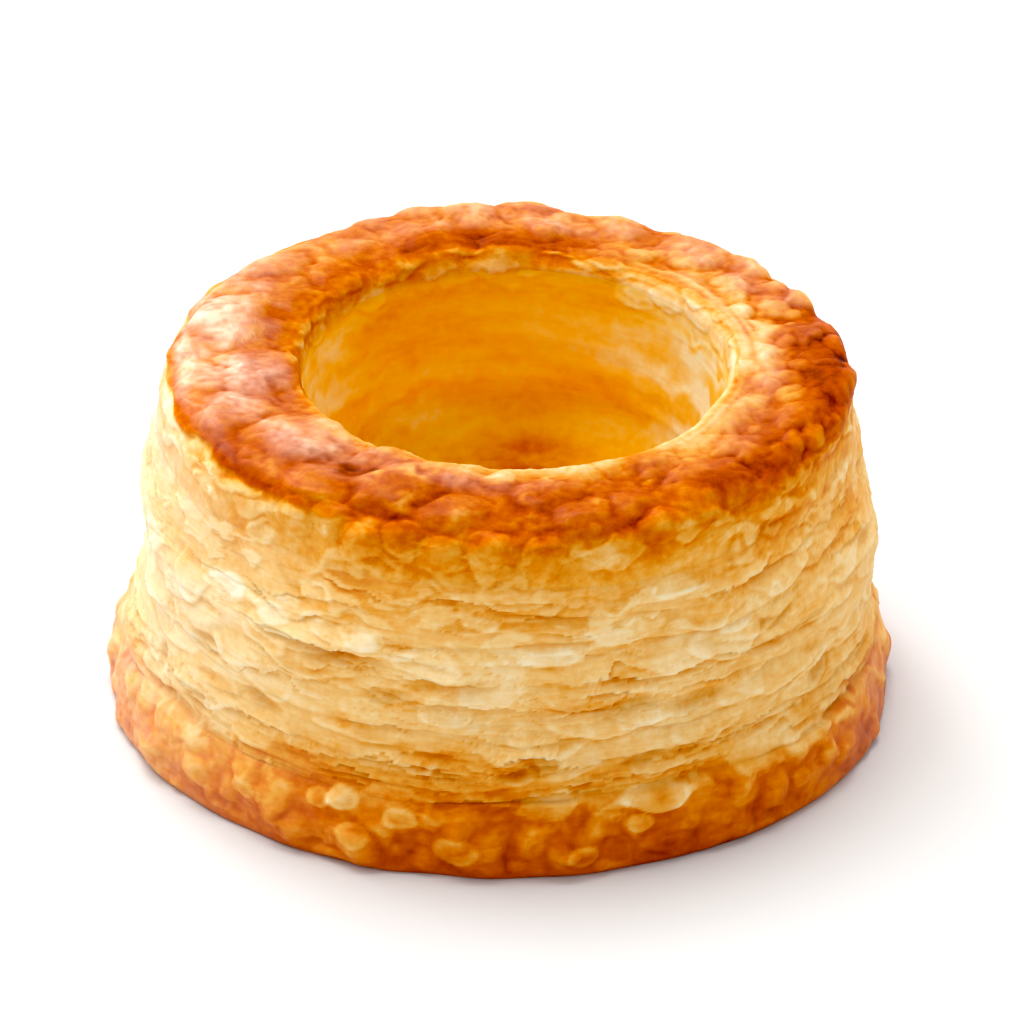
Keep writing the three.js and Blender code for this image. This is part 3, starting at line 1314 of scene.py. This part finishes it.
@dataclass
class FlakySide(Zone):
    """The side: a stack of thin leaves with ragged, overlapping lower edges."""

    name: str = "flaky_side"
    ends: Ends = Ends.LOOP
    finish: CrustFinish = CrustFinish("flaky_side", mottle=0.045, fibre=0.4, pits=0.12, bloom=(251, 222, 192))
    band_steps: int = 15
    band_top: float = 0.985
    lip_share: float = 0.65
    pocket_share: float = 0.5
    bump_height: float = 0.3
    fibre_height: float = 0.04
    skin_height: float = 0.1
    strata: tuple[tuple[int, float, int, float], ...] = ((660, 2.4, 20, 0.26), (680, 0.8, 44, 0.09))
    pages: int = 7
    page_parts: int = 9
    page_pitch: float = 0.6
    lowest_page: float = 8.7
    page_length: float = 28
    page_height: float = 0.22
    front_leaves: tuple[LeafEdge, ...] = (
        LeafEdge(-31, 23.7, 16, 0.5, bow=0.5, shade=1.2),
        LeafEdge(-2, 22.0, 20, 0.4, ragged=1.6),
        LeafEdge(24, 21.5, 18, 0.42, ragged=1.6),
        LeafEdge(50, 20.3, 22, 0.45, slope=-0.05),
        LeafEdge(-2, 18.9, 13, 0.45, shade=1.0),
        LeafEdge(17, 19.5, 10, 0.35),
        LeafEdge(33, 18.4, 12, 0.4, shade=1.0),
        LeafEdge(-19, 16.2, 9, 0.4, bow=0.4, shade=1.1),
        LeafEdge(8, 15.0, 14, 0.35),
        LeafEdge(-15, 12.4, 15, 0.5, shade=1.0, slope=-0.06),
        LeafEdge(4, 13.2, 7, 0.55, bow=1.0, pocket=0.9, shade=1.0),
        LeafEdge(41, 11.8, 16, 0.4, slope=-0.03),
        LeafEdge(62, 9.6, 14, 0.55, shade=0.9),
    )
    thin_leaves: Scraps = Scraps(
        54, 51, 1.0, (9.5, 30.5), Pick(53, 9, 26), Pick(55, 1.6, 3.4), Pick(54, 0.1, 0.3),
        tall_by_width=False, stray=0.25,
    )
    thin_bow: Pick = Pick(56, -0.56, 1.04)
    thin_shade: Pick = Pick(57, 0.5, 1.5)
    plates: Scraps = Scraps(
        120, 76, 0.9, (11, 27), Pick(78, 2.6, 6.0), Pick(79, 1.1, 2.3), Pick(80, 0.1, 0.34),
        Pick(70, -0.072, 0.048), tall_by_width=False,
    )
    lenses: Scraps = Scraps(
        70, 71, 0.8, (10.5, 27.5), Pick(73, 1.8, 4.4), Pick(74, 0.5, 1.2), Pick(0, -0.18, -0.18),
        Pick(75, 0.04, 0.11), tall_by_width=False,
    )
    scales: Scraps = Scraps(
        60, 61, 0.8, (35, 23), Pick(63, 1.2, 3.1), Pick(64, 0.3, 0.55), Pick(66, 0.06, 0.2),
        Pick(65, -0.02, -0.16), power=1.1,
    )
    hollows: tuple[tuple[float, float, float, float], ...] = (
        (-52, 18.2, 2.4, 1.4), (-65, 12.4, 1.4, 1.9), (-54, 10.9, 2.2, 1.6), (-27, 22.4, 6.0, 1.6),
        (-17, 19.4, 3.6, 1.1), (3.5, 12.0, 4.0, 1.1), (19.5, 17.8, 4.4, 1.4), (31, 16.8, 4.0, 1.2),
        (57, 13.4, 2.6, 1.5), (23, 11.8, 3.4, 1.0), (-40, 14.6, 3.6, 1.2), (46, 22.6, 3.4, 1.1),
        (-78, 22.0, 2.0, 1.8), (98, 17.0, 4.0, 1.2), (122, 23.0, 4.2, 1.3), (151, 14.0, 4.4, 1.3),
        (172, 20.5, 3.6, 1.2), (-161, 25.0, 4.0, 1.3), (-140, 13.5, 4.0, 1.4), (-118, 20.0, 3.4, 1.4),
    )
    hollow_depth: float = 0.55
    # How much painted shade the hollows get: browner and darker.
    hollow_tint: float = 0.1
    dents: tuple[Spot, ...] = (
        Spot(0.8, 85, 26, 21, 5), Spot(-1.7, -88, 16, 18.6, 2.5), Spot(0.5, -88, 18, 26, 3),
        Spot(-1.5, -100, 13, 14.4, 1.9),
    )
    warm_spots: tuple[Spot, ...] = (
        Spot(0.12, -14, 14, 29.5, 4), Spot(0.13, -7, 14, 12.5, 2.5), Spot(-0.05, 15, 8, 32, 2.5),
        Spot(0.05, 30, 8, 32, 2.5), Spot(0.09, 75, 10, 28, 2.5), Spot(-0.06, 75, 10, 22, 2.5),
        Spot(0.08, -76, 14, 27.5, 2.5), Spot(-0.05, 22, 10, 17.5, 3), Spot(0.1, -22, 15, 9.5, 1.6),
        Spot(-0.14, 26, 16, 9.5, 1.6),
    )
    warm_back: Patch = Patch(0.14, -138, 34)
    browned_front: Patch = Patch(1, 0, 45, (29, 32))
    back_radius: float = 31
    back_heights: Pair = (34, 6)

    @property
    def band(self) -> Array:
        """Shares up one leaf, from its lower edge to just under the next."""
        return np.linspace(0, self.band_top, self.band_steps)[:, None]

    def lay(self) -> Rows:
        """Lays the rows up the leaves; each leaf's first row hangs a little over the leaf below.

        Returns:
            The rows.
        """
        edges = [FORM.leaf_edge(leaf) + self.ragged(leaf) for leaf in range(FORM.leaves)]
        edges.append(FORM.leaf_edge(FORM.leaves))
        heights = []
        for leaf in range(FORM.leaves):
            tuck = 0.3 * np.minimum(self.pocket(leaf), self.lip(leaf + 1))
            heights.append(mix(edges[leaf] - 0.35 * self.lip(leaf), edges[leaf + 1] + tuck, self.band))
        height = np.concatenate(heights)
        return Rows.of(height, FORM.side_radius(height), height, 1.0, 0.0, 0.0)

    def lip(self, leaf: int) -> Array:
        """How far a leaf's edge stands off; the shoulder's doesn't.

        Args:
            leaf: which leaf, from 0 at the base.

        Returns:
            Distances round the case.
        """
        if leaf == FORM.leaves:
            return np.zeros_like(ANGLES)
        return (1.0 if leaf == 0 else self.lip_share * self.open_share(leaf)) * FORM.lip(leaf)

    def pocket(self, leaf: int) -> Array:
        """How far a leaf sinks under the next; the last one doesn't sink at the shoulder.

        Args:
            leaf: which leaf, from 0 at the base.

        Returns:
            Depths round the case.
        """
        if leaf == FORM.leaves - 1:
            return np.zeros_like(ANGLES)
        return self.pocket_share * self.open_share(leaf + 1) * FORM.pocket(leaf)

    @staticmethod
    def open_share(leaf: int) -> Array:
        """Returns how open the crack under a leaf is; on the left most are baked shut."""
        patchy = np.clip(0.6 + 0.9 * Grain(620 + leaf, 40).at(), 0.02, 1.3)
        return patchy * (1 - near(ANGLES, -70, 38))

    @staticmethod
    def ragged(leaf: int) -> Array:
        """The ragged part of a leaf's edge.

        Args:
            leaf: which leaf, from 0 at the base.

        Returns:
            Heights round the case.
        """
        torn = np.clip(0.4 + Grain(627 + leaf, 30).at(), 0.1, 1.2)
        fine = 0.16 * Grain(607 + leaf, 120).at() + 0.07 * Grain(614 + leaf, 260).at()
        return 0.3 * Grain(600 + leaf, 50).at() + torn * fine

    def shape(self, sheet: Sheet) -> None:
        """Raises the leaves, then adds bumps, layers and scraps.

        Args:
            sheet: the outside.
        """
        self.raise_leaves(sheet)
        self.swell(sheet)
        for layers in self.strata:
            self.lay_strata(sheet, *layers)
        self.lay_thin_leaves(sheet)
        self.lay_scraps(sheet)

    def raise_leaves(self, sheet: Sheet) -> None:
        """Raises the edge of each leaf over the sunk top of the leaf below, and browns both sides of the crack
        as painted shade.

        Args:
            sheet: the outside.
        """
        share, steps, warm = self.band, [], []
        for leaf in range(FORM.leaves):
            lip, next_lip = self.lip(leaf), self.lip(leaf + 1)
            steps.append(lip * (1 - share) ** 1.2 - self.pocket(leaf) * share**2)
            # Painted shade: browner under the next leaf's edge and at this leaf's own edge.
            warm.append(0.25 * (next_lip * smooth(0.75, 1, share) + lip * smooth(0.1, 0, share)))
        first, last = sheet.spans[self.name]
        sheet.relief[first:last] += np.concatenate(steps)
        sheet.tint[first:last] += np.concatenate(warm)

    def swell(self, sheet: Sheet) -> None:
        """Adds bumps, fibres, dents, warm spots and a torn skin under the rim.

        Args:
            sheet: the outside.
        """
        run = sheet.run
        here = smooth(8.0, 9.0, run) * smooth(36, 32, run)
        fibres = crumple(641, ANGLES, sheet.bent_run, 50, 0.7, 2)
        sheet.relief += here * (self.bump_height * sheet.crumpled(631, 30, 4.5) + self.fibre_height * fibres)
        sheet.relief += marks_at(self.dents, run)
        sheet.tint += marks_at(self.warm_spots, run)
        sheet.tint += here * (self.warm_back.at(ANGLES, run) + 0.055 * sheet.crumpled(651, 26, 3.6, 4))
        skin = smooth(0.02, 0.32, sheet.crumpled(690, 66, 1.1)) * smooth(21, 27, run) * smooth(37, 34.5, run)
        sheet.relief += self.skin_height * skin
        sheet.tint -= 0.1 * (skin - 0.3) * (1 - 0.5 * self.browned_front.at(ANGLES, run))

    @staticmethod
    def lay_strata(sheet: Sheet, seed: int, pitch: float, around: int, rise: float) -> None:
        """Lays leaves that wander, merge and fade, one over another.

        Args:
            sheet: the outside.
            seed: which leaves.
            pitch: their mean height.
            around: how many wanders there are round the turn.
            rise: how far a lower edge stands off at most.
        """
        here = smooth(9.5, 11, sheet.run) * smooth(33, 28, sheet.run)
        level = sheet.bent_run - FORM.tilt(sheet.bent_run, sheet.bent_angle)
        share = (level + 1.4 * sheet.crumpled(seed, around, 6.0)) / pitch % 1
        lip = here * np.clip(0.15 + sheet.crumpled(seed + 10, 2 * around, 3.0, 2), 0, 1)
        sheet.relief += rise * lip * ((1 - share) ** 1.4 - 0.3)
        # Painted shadow: browner just under each edge; paler along the edge itself.
        sheet.tint += lip * (0.1 * smooth(0.8, 1, share) - 0.06 * smooth(0.16, 0, share))

    def lay_thin_leaves(self, sheet: Sheet) -> None:
        """Lays the close pages over the base, the leaves that stand out at the front, and thin ones all round.

        Args:
            sheet: the outside.
        """
        turn = 360 / self.page_parts
        for layer in range(self.pages):
            for i in range(self.page_parts):
                angle = turn * (i + scatter(58, self.page_parts * layer + i))
                place = (angle, self.lowest_page + self.page_pitch * layer)
                size = (self.page_length, self.page_height, self.page_pitch)
                edge = LeafEdge(*place, *size, pocket=0.9, shade=0.3, ragged=0.5)
                sheet.leaf(edge, 4000 + 60 * layer + 6 * i)
        for i, edge in enumerate(self.front_leaves):
            sheet.leaf(edge, 3000 + 6 * i)
        for thin in self.thin_leaves.strewn():
            bow, shade = self.thin_bow.of(thin.number), self.thin_shade.of(thin.number)
            edge = LeafEdge(thin.angle, thin.run, thin.wide, thin.thick, thin.tall, bow=bow, shade=shade)
            sheet.leaf(edge, 1000 + 6 * thin.number)

    def lay_scraps(self, sheet: Sheet) -> None:
        """Lays plates, lens-shaped dents, hollows and small scales.

        Args:
            sheet: the outside.
        """
        for plate in self.plates.strewn():
            sheet.scale(plate, 2300 + plate.number, -0.08, plate.tint)
        for lens in self.lenses.strewn():
            sheet.pad(lens, 0.03, lens.tint)
        # Hollows with painted shade.
        for place in self.hollows:
            sheet.hollow(Scrap(*place, self.hollow_depth, self.hollow_tint))
        for scale in self.scales.strewn():
            browned = near(math.radians(scale.angle), 0, 45) * smooth(29, 31, scale.run)
            pale = scale.tint * (1 - 0.7 * float(browned))
            sheet.scale(scale, 2000 + scale.number, pale, 0.7 * pale)

    def close(self, skin: Skin) -> None:
        """Adds the side's back, inside the case."""
        for height in self.back_heights:
            skin.ring(self.back_radius, height)


@dataclass
class BlisteredRim(Zone):
    """The rolled crust at the top: lumps, blisters and dark creases, pale layers at the mouth."""

    name: str = "blistered_rim"
    ends: Ends = Ends.LOOP
    finish: CrustFinish = CrustFinish(
        "blistered_rim", mottle=0.06, fibre=0.15, fibre_flatness=1.5, pits=0.5,
        rough_dry=0.55, rough_glazed=0.42, specular=0.02, glaze_rough=0.38,
    )
    steps: int = 98
    lump_rise: float = 1.3
    blisters: Scraps = Scraps(260, 81, 1.0, (34, 48.5), Pick(83, 0.8, 2.2, 1.6), thick=Pick(84, 0.1, 0.32, 2))
    left_lumps: tuple[Point, ...] = (
        (-104, 43, 5.0), (-82, 45.5, 5.5), (-68, 41, 4.6), (-51, 44.5, 6.0), (-24, 43.5, 5.5), (-37, 39.5, 4.0),
    )
    left_lump_rise: float = 0.19
    wrinkle_height: float = 0.07
    shoulder_blisters: tuple[Pair, ...] = (
        (-37, 34.8), (-30, 36.0), (-24, 34.2), (-17, 36.0), (-11, 34.4), (-3, 35.6), (6, 34.4), (26, 36.0),
    )
    shoulder_blister_radius: float = 2.3
    shoulder_blister_height: float = 0.55
    # Painted highlights on the front of the rim: pale grainy spots, each on a low dome.
    front_flecks: tuple[Point, ...] = (
        (-20, 45.4, 1.8), (-28, 43.0, 1.7), (8, 46.2, 1.5), (3.5, 42.8, 1.0), (-9, 39.6, 1.0),
        (-19.5, 40.2, 1.3), (17, 41.2, 1.0), (29, 44.0, 1.1), (-3, 47.0, 1.6),
    )
    fleck_height: float = 0.12
    # A hollow with painted shade, browner and darker.
    dark_hollow: Scrap = Scrap(-33.5, 43.8, 2.2, 2.4, 0.5, 0.12)
    mouth_flakes: Scraps = Scraps(
        70, 91, 0.8, (FORM.mouth_run - 2.6, FORM.mouth_run + 0.8), Pick(93, 1.0, 2.8), Pick(94, 0.3, 0.5),
        Pick(95, 0.08, 0.22), stride=0, stray=1,
    )
    rises: tuple[Patch, ...] = (
        Patch(-0.8, 142, 36), Patch(-0.35, 185, 25), Patch(-0.7, 112, 14), Patch(0.7, 82, 17, fall=(43, 39)),
    )
    browned: tuple[Patch, ...] = (
        Patch(0.2, 82, 24, fall=(41.5, 38)), Patch(0.05, 40, 60, fall=(42.5, 40.5)),
        Patch(0.15, 98, 16, fall=(46, 43)),
    )
    mouth_tints: tuple[Patch, ...] = (
        Patch(-0.16, -5, 20, (45.5, 48), (52, 50)), Patch(-0.1, 105, 34, (42, 46.5), (58, 52)),
        Patch(-0.12, 134, 22, (42.5, 45), (49.5, 47.5)), Patch(-0.07, -122, 15, (42.5, 45), (49.5, 47.5)),
        Patch(0.09, 178, 36, (44, 46), (49.5, 47.5)),
    )
    cut_layers: Patch = Patch(0.8, 105, 55)
    underside: tuple[Point, ...] = ((25, 31, 1), (32, 29, 0))

    def lay(self) -> Rows:
        """Lays the rows from the shoulder over the crest to the mouth.

        Returns:
            The rows.
        """
        share = shares(self.steps)
        radius, height, outward, upward = FORM.rim_outline(share)
        run = mix(FORM.leaf_edge(FORM.leaves), FORM.leaf_levels[-1], share) + share * FORM.rim_length
        return Rows.of(run, radius, height, outward, upward, share)

    def shape(self, sheet: Sheet) -> None:
        """Raises lumps, blisters and wrinkles, and dresses the crust's edge and the mouth.

        Args:
            sheet: the outside.
        """
        run = sheet.run
        right = 0.25 + 0.75 * near(ANGLES, 90, 75)
        here = smooth(32.5, 36, run) * smooth(FORM.mouth_run, FORM.mouth_run - 1.6, run)
        here = here * (1 - 0.85 * near(ANGLES, 100, 55) * smooth(45.5, 48, run))
        small = self.raised(sheet, [(b, b.thick * b.wide) for b in self.blisters.strewn()], 0.95) * right
        folds = np.hypot(sheet.crumpled(701, 32, 5.0), 0.2)
        wrinkles = self.wrinkle_height * sheet.crumpled(704, 180, 1.0, 2)
        sheet.relief += here * (self.lumps(sheet) + small + (0.04 + 0.3 * right) * folds + wrinkles)
        sheet.relief += here * marks_at(self.rises, run)
        sheet.tint += here * (marks_at(self.browned, run) - 0.35 * small - 0.06 * (folds - 0.45))
        sheet.hollow(self.dark_hollow)
        self.dress_front(sheet)
        self.lay_crust_edge(sheet)
        self.lay_mouth(sheet)

    @staticmethod
    def raised(sheet: Sheet, blisters: list[tuple[Scrap, float]], power: float) -> Array:
        """The heights of blisters, which merge where they meet.

        Args:
            sheet: the outside.
            blisters: each blister with its height.
            power: below 1 for full domes, above 1 for peaks.

        Returns:
            The merged heights.
        """
        squares = np.zeros(sheet.run.shape)
        for blister, rise in blisters:
            index, dome = sheet.dome(blister, power)
            squares[index] += (rise * dome) ** 2
        return np.sqrt(squares)

    def lumps(self, sheet: Sheet) -> Array:
        """The large lumps, which are lower on the left, where a few broad ones lie.

        Args:
            sheet: the outside.

        Returns:
            Their heights.
        """
        large, broad = [], []
        for lump in FORM.large_blisters.strewn():
            flat = 1 - 0.6 * float(near(math.radians(lump.angle), -75, 40))
            rise = self.lump_rise * FORM.blister_rise * flat * lump.wide
            large.append((Scrap.round(lump.angle, lump.run, 1.2 * lump.wide), rise))
        for angle, run, radius in self.left_lumps:
            broad.append((Scrap.round(angle, run, radius), self.left_lump_rise * radius))
        return np.hypot(self.raised(sheet, large, 1.5), self.raised(sheet, broad, 1.3))

    def dress_front(self, sheet: Sheet) -> None:
        """Adds the blisters under the front of the rim and painted highlights on it.

        Args:
            sheet: the outside.
        """
        for place in self.shoulder_blisters:
            index, dome = sheet.dome(Scrap.round(*place, self.shoulder_blister_radius), 1.1)
            sheet.relief[index] += self.shoulder_blister_height * dome
            sheet.tint[index] += 0.05 * (dome > 0) * (1 - 2 * smooth(0.45, 0, dome))
        gleam = np.clip(0.5 + sheet.crumpled(711, 150, 0.8, 2), 0, 1)
        for angle, run, wide in self.front_flecks:
            index, dome = sheet.dome(Scrap.round(angle, run, 1.3 * wide), 1.3)
            sheet.relief[index] += self.fleck_height * dome
            # Painted highlight: paler, in grains.
            sheet.tint[index] -= 0.26 * dome * gleam[index]

    @staticmethod
    def lay_crust_edge(sheet: Sheet) -> None:
        """Gives the browned crust a ragged edge over the pale side, on the left.

        Args:
            sheet: the outside.
        """
        edge = 36 + 0.8 * ripple(ANGLES, 95, 5, 18) + 0.6 * Grain(741, 70).at()
        over = sheet.run + 0.8 * sheet.warp_across - edge
        step = smooth(-0.2, 0.25, over)
        here = 0.4 * near(ANGLES, -72, 38)
        sheet.relief += here * step * smooth(7, 1, over)
        sheet.tint += here * (step - 0.5) * hump(over, 0, 2.2)

    def lay_mouth(self, sheet: Sheet) -> None:
        """Lays the cut layers of the mouth, which show most on the right, and small flakes over its edge.

        Args:
            sheet: the outside.
        """
        run = sheet.run
        band = smooth(44.5, 48, run) * smooth(57, 53, run) * (0.2 + self.cut_layers.at(ANGLES, run))
        layers = 0.7 * Grain(731, 14, 0.8).at(ANGLES, run) + 0.6 * Grain(732, 20, 0.45).at(ANGLES, run)
        sheet.relief += 0.07 * band * layers
        sheet.tint += marks_at(self.mouth_tints, run) - 0.13 * band * layers
        for flake in self.mouth_flakes.strewn():
            turn = math.radians(flake.angle)
            pale = -0.04 - 0.06 * float(near(turn, 145, 45)) - 0.1 * float(near(turn, -95, 40))
            sheet.scale(flake, 2600 + flake.number, pale, 0.4 * pale, -1.0)

    def close(self, skin: Skin) -> None:
        """Adds the rim's underside, inside the case."""
        for ring in self.underside:
            skin.ring(*ring)


@dataclass
class EmptyWell(Zone):
    """The hollow: a golden wall with faint layers, a rounded corner and a darker floor."""

    name: str = "well_lining"
    ends: Ends = Ends.POLES
    finish: CrustFinish = CrustFinish(
        "well_lining", mottle=0.04, fibre=0.15, fibre_flatness=5.0, pits=0.06,
        rough_dry=0.6, rough_glazed=0.45, specular=0.06, colours=GOLDEN,
    )
    wall_steps: int = 52
    corner_steps: int = 24
    floor_steps: int = 30
    layer_height: float = 0.064
    blotch_height: float = 0.2
    blotch_period: float = 60.0
    cream_wall: Patch = Patch(0.28, 93, 35)
    bright_left: Patch = Patch(1, -118, 36)
    tints: tuple[Patch | Spot, ...] = (
        Spot(0.1, 150, 18, 63.5, 3), Patch(0.24, 166, 22, (68, 71), (84, 77)), Spot(-0.12, -105, 24, 57, 2.8),
    )
    back: tuple[Pair, ...] = ((0, 15.4), (20, 15.4), (24, 24), (24.5, 33))

    def lay(self) -> Rows:
        """Lays the rows down the wall, round the corner and over the floor, without its middle.

        Returns:
            The rows.
        """
        share = shares(self.wall_steps)
        wall = Rows.of(FORM.mouth_run + FORM.wall_height * share, *FORM.well_point(share), -1.0, 0.0, 1.0)
        share = shares(self.corner_steps)
        bend = share * math.pi / 2
        foot = FORM.mouth_run + FORM.wall_height
        run = foot + FORM.corner_width * bend
        corner = Rows.of(run, *FORM.floor_point(share), -np.cos(bend), np.sin(bend), 1.0)
        share = shares(self.floor_steps)
        radius, height = FORM.floor_point(np.ones((1, 1)))
        run = foot + FORM.corner_width * math.pi / 2 + radius * share
        flat = Rows.of(run, radius * (1 - share), mix(height, FORM.floor_height, share), 0.0, 1.0, 1.0)
        return Rows.joined([wall, corner, flat])

    def shape(self, sheet: Sheet) -> None:
        """Adds soft layers and streaks to the wall, palest on its right and left, and blotches to the floor.

        Args:
            sheet: the outside.
        """
        run = sheet.run
        wall = smooth(FORM.mouth_run, FORM.mouth_run + 2, run) * smooth(73, 66, run)
        layers = sheet.crumpled(801, 14, 3.4)
        streaks = sheet.crumpled(821, 12, 2.2, 2)
        cream = np.clip(0.3 + 1.6 * streaks, -0.3, 1.2) * self.cream_wall.at(ANGLES, run)
        bright = (0.05 + 0.08 * streaks) * self.bright_left.at(ANGLES, run)
        sheet.relief += wall * self.layer_height * layers
        sheet.tint += marks_at(self.tints, run) - wall * (cream + bright + 0.11 * streaks + 0.04 * layers)
        east, north = sheet.rows.radius * np.sin(ANGLES), sheet.rows.radius * np.cos(ANGLES)
        blotches = smooth(66, 73, run) * crumple(841, TURN * east / self.blotch_period, north, 16, 3.8)
        sheet.relief += self.blotch_height * blotches
        sheet.tint -= 0.1 * blotches

    def start(self, skin: Skin) -> None:
        """Adds the lining's back, inside the case."""
        for radius, height in self.back:
            skin.ring(radius, height, 1)

    def close(self, skin: Skin) -> None:
        """Adds the middle of the floor."""
        skin.ring(0, FORM.floor_height, 1, skin.looks[-1].some(-1, None))


@dataclass(frozen=True)
class Lamp:
    """A square soft lamp that faces the case."""

    name: str
    power: float
    size: float
    place: Point

    def hang(self, target: Point) -> None:
        """Adds the lamp.

        Args:
            target: the point that it faces.
        """
        light = bpy.data.lights.new(self.name, "AREA")
        light.energy = self.power
        light.size = self.size
        lamp = bpy.data.objects.new(self.name, light)
        lamp.location = self.place
        lamp.rotation_euler = (Vector(target) - Vector(self.place)).to_track_quat("-Z", "Y").to_euler()
        bpy.context.scene.collection.objects.link(lamp)


@dataclass
class Studio:
    """A pale floor, soft light and a long-lens camera at the photo's angle; lengths in metres."""

    elevation: float = math.radians(30.25)
    distance: float = 1.1
    target: Point = (0.00124, 0.0, 0.0199)
    pixels_per_mm: float = 9.69
    frame_pixels: int = 1024
    floor_size: float = 6.0
    floor_tone: float = 0.7
    sky: float = 0.71
    black_level: float = 0.02
    lamps: tuple[Lamp, ...] = (
        Lamp("window", 10.5, 1.0, (-0.8, 0.3, 1.35)),
        Lamp("overhead", 17.0, 1.0, (-0.05, 0.45, 1.4)),
        Lamp("sheen", 4.5, 0.4, (-0.5, 1.0, 0.55)),
    )

    def build(self) -> None:
        """Sets up the floor, the light and the camera."""
        self.lay_floor()
        self.light()
        self.set_camera()

    def lay_floor(self) -> None:
        """Lays the floor."""
        half = self.floor_size / 2
        mesh = bpy.data.meshes.new("floor")
        corners = [(-half, -half, 0), (half, -half, 0), (half, half, 0), (-half, half, 0)]
        mesh.from_pydata(corners, [], [(0, 1, 2, 3)])
        paint = bpy.data.materials.new("floor_paint")
        paint.use_nodes = True
        tone = (self.floor_tone, self.floor_tone, self.floor_tone, 1)
        inputs = {"Base Color": tone, "Roughness": 0.9, "Specular IOR Level": 0.1}
        Bench(paint.node_tree).feed(paint.node_tree.nodes["Principled BSDF"], inputs)
        mesh.materials.append(paint)
        floor = bpy.data.objects.new("floor", mesh)
        bpy.context.scene.collection.objects.link(floor)

    def light(self) -> None:
        """Adds a dim white sky and the soft lamps, and sets how the picture is developed."""
        scene = bpy.context.scene
        scene.world = bpy.data.worlds.new("white_sky")
        scene.world.use_nodes = True
        sky = scene.world.node_tree.nodes["Background"]
        Bench(scene.world.node_tree).feed(sky, {"Color": (1, 1, 1, 1), "Strength": self.sky})
        for lamp in self.lamps:
            lamp.hang(self.target)
        scene.view_settings.view_transform = "Standard"
        scene.view_settings.use_curve_mapping = True
        scene.view_settings.curve_mapping.black_level = (self.black_level,) * 3
        scene.view_settings.curve_mapping.update()

    def set_camera(self) -> None:
        """Adds the camera."""
        lens = bpy.data.cameras.new("camera")
        half_tangent = self.frame_pixels / 2 / (self.pixels_per_mm / MM * self.distance)
        lens.sensor_width = 36
        lens.lens = lens.sensor_width / 2 / half_tangent
        lens.clip_start = 0.01
        lens.clip_end = 20
        camera = bpy.data.objects.new("camera", lens)
        back = Vector((0, -math.cos(self.elevation), math.sin(self.elevation)))
        camera.location = Vector(self.target) + back * self.distance
        camera.rotation_euler = (-back).to_track_quat("-Z", "Y").to_euler()
        bpy.context.scene.collection.objects.link(camera)
        bpy.context.scene.camera = camera


def main() -> None:
    """Builds the case and the studio."""
    logging.basicConfig(level=logging.INFO, format="%(name)s: %(message)s")
    zones: list[Zone] = [BrownedBase(), FlakySide(), BlisteredRim(), EmptyWell()]
    sheet = Sheet(zones)
    for zone in zones:
        zone.shape(sheet)
    sheet.settle(Baking())
    for zone in zones:
        piece = zone.build(sheet)
        log.info("%s: %d faces", piece.name, len(piece.data.polygons))
    Studio().build()


if __name__ == "__main__":
    main()
